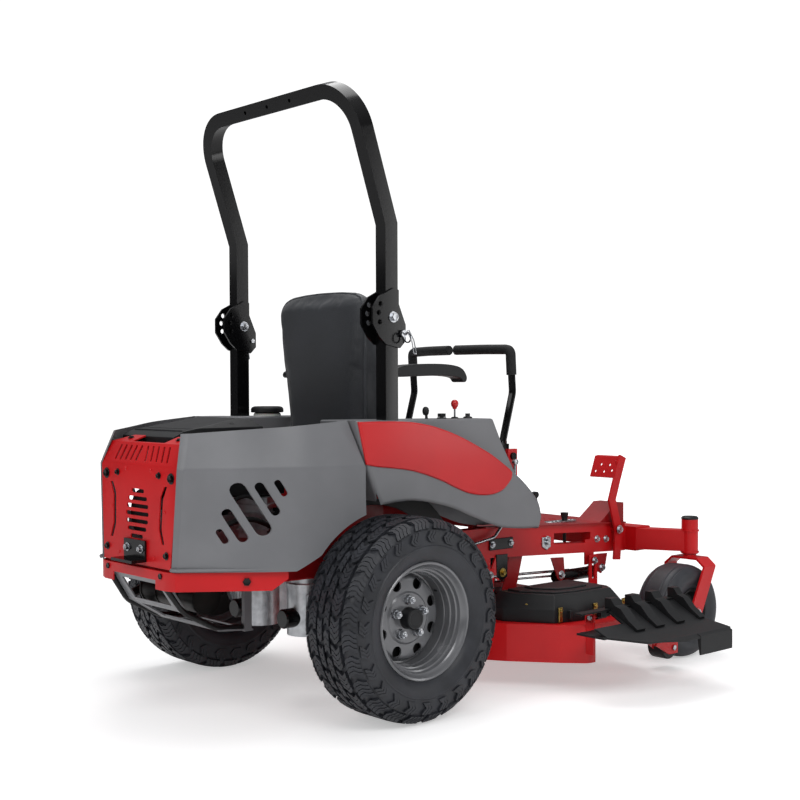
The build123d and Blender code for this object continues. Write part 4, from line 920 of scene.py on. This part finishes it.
# Painted shade behind the louvres: a plain dark round plate with a raised rim.
louvre_shade_plate = turned("X", [(0, 0), (72, 0), (72, 3), (66, 5), (0, 5)], (-571, 0, 606), 48)
seat_piece("louvre_painted_shade_plate", louvre_shade_plate, bay_painted_shade)

# Two bolts face back, and one on each side is square to the strip's turned end.
side_bolt = bolt_row("Y", [(0, 0, 427)], 12, 0, -9)
side_bolt.data.transform(shift(-430, -323.5, 0) @ Matrix.Rotation(math.radians(-36), 4, "Z"))
strip_bolts = join(bolt_row("X", [(-600, -150, 440), (-600, 150, 440)], 9, 0, -7), copy(side_bolt, MIRROR), side_bolt)
seat_piece("strip_bolts", strip_bolts, black_enamel, angle=25)
seat_piece("hitch_bolts", bolt_row("X", [(-602, -38, 507), (-602, 38, 507)], 9, 0, -9), zinc_plate, angle=25)

# Skid tube under the guard.
skid = bar([(-300, -150, 262), (-420, -158, 268), (-536, -160, 330), (-590, -150, 408)], 9, 40)
pair("skid_tube", skid, black_matt_enamel, angle=45)

# Silencer: rolled seams and a tail pipe.
bands = [turned("Y", [(45, -3), (48.5, -3), (48.5, 3), (45, 3)], (-452, y, 360), 40) for y in (-146, -60, 60, 146)]
bands.append(pipe([(-452, 150, 360), (-452, 182, 360), (-470, 200, 348), (-500, 206, 336)], 15, 10))
seat_piece("silencer_bands", join(*bands), sooted_steel)


# ------------------------------------------------------------------ transmissions
def ribs():
    """Cooling ribs, bolted case flange and drain plug of the right-hand transmission."""
    shapes = [turned("Y", [(70, -2.2), (77, -2.2), (77, 2.2), (70, 2.2)], (0, -188 - 18 * k, AXLE_HEIGHT), 40)
              for k in range(7)]
    shapes.append(turned("Y", [(70, -4), (84, -4), (84, 4), (70, 4)], (0, -246, AXLE_HEIGHT), 40))
    for x, z in around(8, 79, 0.2):
        shapes.append(disc("Y", (x, 0, z + AXLE_HEIGHT), 6, -256, -240, 12, 1))
    shapes += [box(-112, 42, -206 + 18 * k, -202 + 18 * k, 229, 336) for k in range(6)]
    shapes.append(ease(nut("Z", (-20, -160, 0), 11, 232, 222), 1, 1))
    return join(*shapes)


pair("transmission_ribs", ribs(), cast_aluminium)
oil_filter = turned("X", [(0, -60), (26, -60), (30, -56), (30, 4), (26, 8), (0, 8)], (-110, -130, 262), 32)
pair("oil_filter", oil_filter, black_enamel)
hoses = join(pipe([(-60, -200, 300), (-90, -206, 380), (-60, -180, 430), (20, -150, 440), (60, -120, 470)], 9, 10),
             pipe([(20, -200, 320), (60, -214, 380), (80, -190, 440), (80, -120, 466)], 7, 10))
pair("transmission_hoses", hoses, black_foam, angle=60)
arm = join(slab("Y", rounded_slot(-20, 392, 96, 18, 20), -262, -256), disc("Y", (-52, 0, 380), 13, -266, -250, 20, 1))
pair("pump_control_arm", arm, zinc_plate)

# ------------------------------------------------------------------ engine bay
ENGINE_X = -320
rocker_covers = []
for s in (-1, 1):
    cover = ease(box(-60, 60, -44, 44, 0, 20), 6, 3)
    cover.data.transform(shift(ENGINE_X + 118, s * 168, 566) @ Matrix.Rotation(math.radians(s * 52), 4, "Z")
                         @ Matrix.Rotation(math.radians(90), 4, "X"))
    rocker_covers.append(cover)
seat_piece("rocker_covers", join(*rocker_covers), black_enamel)
looms = []
for s in (-1, 1):
    looms.append(pipe([(-230, s * 150, 560), (-280, s * 196, 620), (-340, s * 204, 660), (-400, s * 188, 640),
                       (-440, s * 160, 590)], 6))
    looms.append(pipe([(-180, s * 190, 520), (-260, s * 214, 560), (-360, s * 206, 600), (-430, s * 176, 560)], 8))
    looms.append(pipe([(-200, s * 200, 690), (-300, s * 206, 700), (-380, s * 190, 690), (-420, s * 150, 700)], 5))
seat_piece("engine_loom", join(*looms), black_foam, angle=60)
ring_bolts = bolt_row("Z", [(ENGINE_X + x, y, 0) for x, y in around(6, 135, 0.3)], 7, 668, 675)
seat_piece("shroud_ring", join(disc("Z", (ENGINE_X, 0, 0), 150, 662, 668, 48, 2), ring_bolts), black_polypropylene)
# The oil cooler housing is made near-black as painted shade.
cooler = turned("Y", [(0, -95), (48, -95), (54, -88), (54, 88), (48, 95), (0, 95)], (-215, 0, 715), 40)
seat_piece("oil_cooler_housing", cooler, bay_painted_shade)
intake = join(*[ease(box(-470 + 34 * k, -452 + 34 * k, -50, 226, 836, 846 + 3.5 * k), 2, 1) for k in range(6)])
seat_piece("intake_ribs", intake, black_polypropylene)
# The canister boxes are made near-black as painted shade.
canisters = [ease(box(-62, 42, y, y + 92, 800, 858), 8, 3) for y in (-392, 300)]
seat_piece("canister_boxes", join(*canisters), bay_painted_shade)

# Fuel neck, and the cap's skirt with its ribbed grip.
neck = turned("Z", [(30, 862), (47, 862), (47, 878), (44, 882), (30, 882)], FUEL_CAP, 40)
seat_piece("fuel_neck", neck, natural_polyethylene)
skirt = turned("Z", [(40, 884), (54, 884), (56, 886), (56, 896), (52, 902), (44, 905), (40, 905)], FUEL_CAP, 40)
seat_piece("fuel_cap_skirt", skirt, black_polypropylene, "cap")
GRIP_RIBS = 26
ridge = box(40.5, 43.2, -2.4, 2.4, 883, 899)
grip_ring = [copy(ridge, shift(*FUEL_CAP) @ Matrix.Rotation(2 * math.pi * k / GRIP_RIBS, 4, "Z"))
             for k in range(GRIP_RIBS)]
bpy.data.objects.remove(ridge, do_unlink=True)
seat_piece("fuel_cap_ribs", join(*grip_ring), black_polypropylene, "cap")

# ------------------------------------------------------------------ front frame
KINGPIN = (1386, -505)
pair("rail_cover", ease(box(556, 668, -306, -299, 424, 462), 2, 2), black_enamel)
rail_bolts = join(bolt_row("Y", [(568, 0, 443), (656, 0, 443), (838, 0, 440)], 8, -306, -313),
                  bolt_row("Y", [(1110, 0, 418), (1160, 0, 414)], 9, -300, -308),
                  bolt_row("Y", [(540, 0, 346), (1070, 0, 346)], 9, -324, -331))
pair("rail_bolts", rail_bolts, zinc_plate, angle=25)
pair("axle_bolts", bolt_row("X", [(0, -275, 388), (0, -275, 428), (0, -225, 388), (0, -225, 428)], 9, 1352, 1360),
     zinc_plate, angle=25)
beads = [turned("Z", [(29, -2.5), (33.5, -2.5), (33.5, 2.5), (29, 2.5)], (*KINGPIN, z), 32)
         for z in (366.5, 444.5)]
beads.append(pipe([(1359, -344, 448), (1360, -344, 447), (1277, -344, 448)], 3, 6))
pair("axle_welds", join(*beads), red_powder_coat, angle=60)
caps = turned("Z", [(0, 485), (30, 485), (31, 487), (31, 491), (26, 496), (0, 497)], (*KINGPIN, 0), 32)
pair("kingpin_cap", caps, black_polypropylene, "frame", ["frame_bolts"], 30)
pair("hoop_pivot_shank", disc("Y", HOOP_PIVOT, 8, -419, -361, 20, 0.5), zinc_plate)

# Tread plate lines on the foot pan: short crossed bars, raised 1.6 mm, on a pan that falls to the front.
lozenge = slab("Z", rounded_slot(0, 0, 26, 6, 45), 0, 1.6)
lozenges = []
for i in range(13):
    for j in range(9):
        crossed = Matrix.Rotation(math.radians(90 * ((i + j) % 2)), 4, "Z")
        x, y = 590 + 40 * i, -160 + 40 * j
        z = 504.6 - (x - 530) * 35 / 740
        lozenges.append(copy(lozenge, shift(x, y, z) @ crossed))
bpy.data.objects.remove(lozenge, do_unlink=True)
# The tread bars wear the red with painted shade.
seat_piece("tread_plate_bars", join(*lozenges), red_coat_painted_shade)

# Lift damper behind the front hanger, lying level under the rail between its brackets.
cylinder = join(turned("X", [(0, 915), (20, 915), (23, 919), (23, 940), (21, 943), (21, 1098), (23, 1101),
                             (23, 1119), (20, 1123), (0, 1123)], (0, -272, 296), 32),
                disc("X", (0, -272, 296), 9, 1120, 1136, 16, 1))
seat_piece("lift_cylinder", cylinder, black_enamel)
gusset = slab("Y", [(1108, 364), (1168, 362), (1158, 322), (1134, 290), (1112, 300)], -302, -297)
bracket = slab("Y", [(862, 372), (930, 368), (936, 300), (918, 282), (896, 296)], -302, -297)
# The damper brackets wear the red with painted shade.
seat_piece("cylinder_brackets", ease(join(gusset, bracket), 1.2, 1), red_coat_painted_shade)
seat_piece("cylinder_bolts", bolt_row("Y", [(1136, 0, 312), (916, 0, 308)], 10, -302, -311), zinc_plate, angle=25)
links = join(bar([(500, -262, 330), (760, -262, 322), (1000, -262, 312)], 5, 30),
             bar([(500, -250, 308), (760, -250, 304), (920, -256, 298)], 4, 30))
seat_piece("lift_rods", links, zinc_plate, angle=60)
bushing_plate = slab("Y", [(588, 408), (642, 406), (640, 330), (616, 318), (592, 332)], -306, -300)
seat_piece("bushing_plate", ease(bushing_plate, 1.2, 1), black_enamel)
bushing = join(turned("Y", [(0, -312), (9, -312), (9, -309), (15, -309), (15, -305), (0, -305)], (615, 0, 346), 24),
               ease(nut("Y", (615, 0, 346), 8, -311, -317), 0.8, 1))
seat_piece("lift_bushing", bushing, yellow_zinc)
strut = slab("Y", [(672, 412), (742, 412), (700, 268), (634, 268)], -286, -280)
# The deck strut wears the red with painted shade.
seat_piece("deck_strut", ease(strut, 1.2, 1), red_coat_painted_shade)
rail_clip = join(ease(slab("Y", [(815, 448), (858, 446), (858, 412), (838, 402), (815, 414)], -305, -299), 1.2, 1),
                 bolt_row("Y", [(838, 0, 428)], 8, -305, -313))
seat_piece("rail_clip", rail_clip, zinc_plate)


def coil(place, radius, wire, low, high, turns):
    """A coil spring standing on end."""
    x, y = place
    steps = turns * 12
    return pipe([(x + radius * math.cos(i * math.pi / 6), y + radius * math.sin(i * math.pi / 6),
                  low + (high - low) * i / steps) for i in range(steps + 1)], wire, 6)


seat_piece("pedal_spring", coil((1236, -262), 12, 2.6, 486, 548, 7), black_enamel, angle=60)
spring_seat = join(disc("Z", (1236, -262, 0), 16, 470, 488, 24, 1.5), disc("Z", (1236, -262, 0), 5, 480, 560, 12, 1))
seat_piece("pedal_spring_seat", spring_seat, black_matt_enamel)

# Height index plate: flat on the foot pan round the height pin, with a row of holes.
index_plate = slab("Z", rounded_slot(985, -236, 150, 46, 0), 484, 488)
index_holes = [disc("Z", (x, -236, 0), 6, 480, 492, 16) for x in (930, 950, 970, 1030, 1048)]
index_holes.append(disc("Z", (1005, -238, 0), 8, 480, 492, 20))
seat_piece("height_index_plate", ease(cut(index_plate, *index_holes), 0.8, 1), zinc_plate)

# Pump control rods from the lever posts back to the transmissions.
control = join(bar([(664, -318, 716), (650, -322, 560), (560, -322, 470), (120, -312, 400)], 5, 24),
               disc("Y", (664, 0, 716), 10, -326, -312, 16, 1))
pair("control_rods", control, zinc_plate, angle=60)

# ------------------------------------------------------------------ lift pedal trim
seat_piece("pedal_pivot_bolt", bolt_row("Y", [(1200, 0, 448)], 11, -332, -340), zinc_plate, "pedal", angle=25)
pedal_rib = ease(slab("X", [(-322, 640), (-322, 700), (-316, 700), (-316, 640)], 1196, 1212), 1, 1)
seat_piece("pedal_rib", pedal_rib, red_powder_coat, "pedal")

# ------------------------------------------------------------------ cutting deck
deck_parts = []
for s in (1, -1):
    edge = [(s * 640, 96), (s * 655, 96), (s * 655, 205), (s * 640, 205)]
    deck_parts.append(ease(slab("X", edge, 996, 1004), 1.5, 1))
deck_parts.append(ease(box(388, 396, -284, 284, 90, 98), 1.5, 1))
for x in (640, 1016):
    deck_parts.append(ease(box(x, x + 6, -680, -648, 120, 246), 1.2, 1))
seat_piece("deck_edging", join(*deck_parts), red_powder_coat, "deck")
bolt_places = ((560, 250), (700, 250), (1000, 250), (560, -250), (700, -250), (1000, -250), (1040, 0), (440, 0))
deck_bolts = join(bolt_row("Z", [(x, y, 0) for x, y in bolt_places], 9, 211, 219),
                  bolt_row("Z", [(870 + x, y, 0) for x, y in around(6, 56, 0.5)], 8, 211, 219, washer=False))
seat_piece("deck_bolts", deck_bolts, zinc_plate, "deck", angle=25)
knobs = [turned("Z", [(0, 250), (7, 250), (7, 256), (15, 258), (15, 268), (12, 271), (0, 271)], (x, s * y, 0), 20)
         for s in (1, -1) for x, y in ((560, 470), (880, 560), (880, 380))]
seat_piece("cover_knobs", join(*knobs), yellow_zinc, "deck")
runs = []
for a, b in (((822, -430), (932, 0)), ((932, 0), (822, 430)), ((698, -430), (808, 0)), ((808, 0), (698, 430))):
    along = Vector((b[0] - a[0], b[1] - a[1]))
    side = Vector((along.y, -along.x)).normalized() * 4
    outline = [(a[0] + side.x, a[1] + side.y), (b[0] + side.x, b[1] + side.y), (b[0] - side.x, b[1] - side.y),
               (a[0] - side.x, a[1] - side.y)]
    runs.append(slab("Z", outline, 225, 239))
seat_piece("deck_belt", join(*runs), black_foam, "deck")

# Belt covers: a raised, stepped crown with grip ridges, and brass side clips.
COVER_PLAN = [(505, -340), (500, -420), (590, -560), (700, -585), (900, -585), (930, -540), (930, -340)]


def cover_step(scale, low, high):
    """A plateau on the right-hand belt cover, its outline shrunk towards the middle."""
    plan = [(715 + (x - 715) * scale, -455 + (y + 455) * scale) for x, y in COVER_PLAN]
    return ease(slab("Z", plan, low, high), 3, 2)


crown = join(cover_step(0.70, 296, 305), cover_step(0.46, 303, 311),
             *[ease(box(x, x + 12, -585.5, -566, 222, 250), 2, 1) for x in (640, 720, 800, 880)])
pair("belt_cover_crown", crown, black_polypropylene, "deck")
clips = []
for x in (612, 760, 905):
    y = -566 if x == 612 else -586
    clips.append(ease(box(x - 9, x + 9, y - 4, y + 2, 214, 262), 1.5, 1))
    clips.append(disc("Y", (x, 0, 252), 6, y - 8, y - 3, 16, 1))
pair("belt_cover_clips", join(*clips), yellow_zinc, "deck")
lip = ease(slab("X", [(-668, 258), (-668, 264), (-700, 264), (-700, 258)], 560, 1050), 1.5, 1)
seat_piece("chute_hinge_strip", lip, black_matt_enamel, "chute")
hinge_ends = join(disc("X", (0, -672, 240), 8, 628, 634, 16, 1), disc("X", (0, -672, 240), 8, 1028, 1034, 16, 1))
seat_piece("chute_hinge_ends", hinge_ends, zinc_plate, "deck")
roller_bolts = [bolt_row("Y", [(1096, 0, 78)], 10, s * 648, s * 655) for s in (1, -1)]
seat_piece("roller_bolts", join(*roller_bolts), zinc_plate, "deck", angle=25)

# ------------------------------------------------------------------ controls
throttle_grip = turned("Z", [(0, 881), (7, 882), (10, 888), (11, 896), (9, 904), (4, 908), (0, 908.5)],
                       (246, -330, 0), 20)
seat_piece("throttle_grip", throttle_grip, black_polypropylene, "throttle", angle=60)
choke_ball = turned("Z", [(0, 898), (6, 899), (7, 903), (11, 909), (12.5, 916), (11, 923), (6, 928), (0, 929)],
                    CHOKE, 20)
seat_piece("choke_ball", choke_ball, red_pvc, "choke", ["choke_knob"], 60)
seat_piece("choke_stem", disc("Z", CHOKE, 3, 838, 900, 12, 0.5), zinc_plate, "choke")
bezels = [turned("Z", [(r - 4, 866), (r + 3, 866), (r + 3, 871), (r, 874), (r - 4, 874)], place, 24)
          for place, r in ((CHOKE, 9), (KEY, 13), (PTO, 12))]
seat_piece("control_bezels", join(*bezels), black_polypropylene)

# ------------------------------------------------------------------ CAD nodes that keep their shape
# Fuel tanks and crank drive take the engine bay's painted shade.
NODE_FINISH = {"fuel_tanks": bay_painted_shade, "crank_drive": bay_painted_shade, "height_pin": black_polypropylene,
               "spindle_right": blade_steel, "spindle_centre": blade_steel, "spindle_left": blade_steel,
               "lock_pin_right": zinc_plate, "lock_pin_left": zinc_plate}
for node, piece in frame["nodes"].items():
    if not piece.hide_render:
        paint(piece, NODE_FINISH.get(node) or CAD_FINISH[NODE_SLOT[node]])

# ------------------------------------------------------------------ floor, light and camera
clear()
bpy.ops.mesh.primitive_circle_add(vertices=64, radius=14, fill_type="NGON")
floor = bpy.context.object
floor.name = "studio_floor"
floor_paint = finish("matt_white_studio_floor", "#F4F4F4", "#F1F1F1", 900, 0.8, 0.02)
floor_shader = next(n for n in floor_paint.node_tree.nodes if n.type == "BSDF_PRINCIPLED")
floor_shader.inputs["Emission Color"].default_value = (1, 1, 1, 1)
# The floor glows more with distance from the machine, so that it meets the white surround with no edge.
floor_tree = floor_paint.node_tree
floor_place = add(floor_tree, "ShaderNodeTexCoord").outputs["Object"]
floor_reach = add(floor_tree, "ShaderNodeVectorMath", links={0: floor_place}, operation="LENGTH").outputs["Value"]
floor_glow = add(floor_tree, "ShaderNodeMapRange", {"From Min": 2.2, "From Max": 6.0, "To Min": 0.42, "To Max": 1.1},
                 {"Value": floor_reach})
floor_ray = add(floor_tree, "ShaderNodeLightPath").outputs["Is Camera Ray"]
floor_seen = add(floor_tree, "ShaderNodeMix", {"A": 0.12}, {"Factor": floor_ray, "B": floor_glow.outputs["Result"]})
floor_tree.links.new(floor_seen.outputs["Result"], floor_shader.inputs["Emission Strength"])
floor.data.materials.append(floor_paint)

world = bpy.data.worlds.new("studio")
bpy.context.scene.world = world
world.use_nodes = True
sky = world.node_tree
sky.nodes.clear()
direction = add(sky, "ShaderNodeTexCoord").outputs["Generated"]
height = add(sky, "ShaderNodeSeparateXYZ", links={"Vector": direction}).outputs["Z"]
ramp = add(sky, "ShaderNodeValToRGB", links={"Fac": height})
ramp.color_ramp.elements[0].color = (0.10, 0.10, 0.105, 1)
ramp.color_ramp.elements[1].color = (0.75, 0.75, 0.77, 1)
ramp.color_ramp.elements[1].position = 0.8
lit = add(sky, "ShaderNodeBackground", {"Strength": 0.62}, {"Color": ramp.outputs["Color"]})
seen = add(sky, "ShaderNodeBackground", {"Color": (1, 1, 1, 1), "Strength": 1.1})
ray = add(sky, "ShaderNodeLightPath").outputs["Is Camera Ray"]
mixed = add(sky, "ShaderNodeMixShader", links={0: ray, 1: lit.outputs[0], 2: seen.outputs[0]})
add(sky, "ShaderNodeOutputWorld", links={"Surface": mixed.outputs[0]})


def softbox(place, aim, width, height, power):
    """A rectangular area light pointed at a place, in metres."""
    clear()
    bpy.ops.object.light_add(type="AREA", location=place)
    lamp = bpy.context.object
    lamp.data.shape = "RECTANGLE"
    lamp.data.size, lamp.data.size_y = width, height
    lamp.data.energy = power
    lamp.rotation_euler = (Vector(aim) - Vector(place)).to_track_quat("-Z", "Y").to_euler()


softbox((-1.5, -3.6, 3.6), (0, 0, 0.5), 2.6, 1.8, 66)
softbox((-4.2, -0.6, 2.6), (0, 0, 0.6), 1.6, 2.4, 34)
softbox((0.6, 1.0, 4.6), (0, 0, 0.6), 3.0, 3.0, 90)
softbox((2.8, -3.4, 1.6), (0.3, 0, 0.5), 0.7, 2.2, 18)

CAMERA_PLACE = ORIGIN + Vector((-2.4683, -3.2943, 0.9782))
CAMERA_YAW, CAMERA_PITCH, CAMERA_ROLL = math.radians(48.624), math.radians(-1.626), -0.0036858
ahead = Vector((math.cos(CAMERA_YAW) * math.cos(CAMERA_PITCH), math.sin(CAMERA_YAW) * math.cos(CAMERA_PITCH),
                math.sin(CAMERA_PITCH)))
level = Vector((math.sin(CAMERA_YAW), -math.cos(CAMERA_YAW), 0))
upright = level.cross(ahead)
across = level * math.cos(CAMERA_ROLL) + upright * math.sin(CAMERA_ROLL)
above = upright * math.cos(CAMERA_ROLL) - level * math.sin(CAMERA_ROLL)
clear()
bpy.ops.object.camera_add()
camera = bpy.context.object
camera.matrix_world = Matrix.Translation(CAMERA_PLACE) @ Matrix((across, above, -ahead)).transposed().to_4x4()
camera.data.lens = 57.58
camera.data.sensor_width = 36
camera.data.shift_x = -0.00136
camera.data.shift_y = 0.02603
bpy.context.scene.camera = camera
bpy.context.scene.view_settings.view_transform = "Standard"
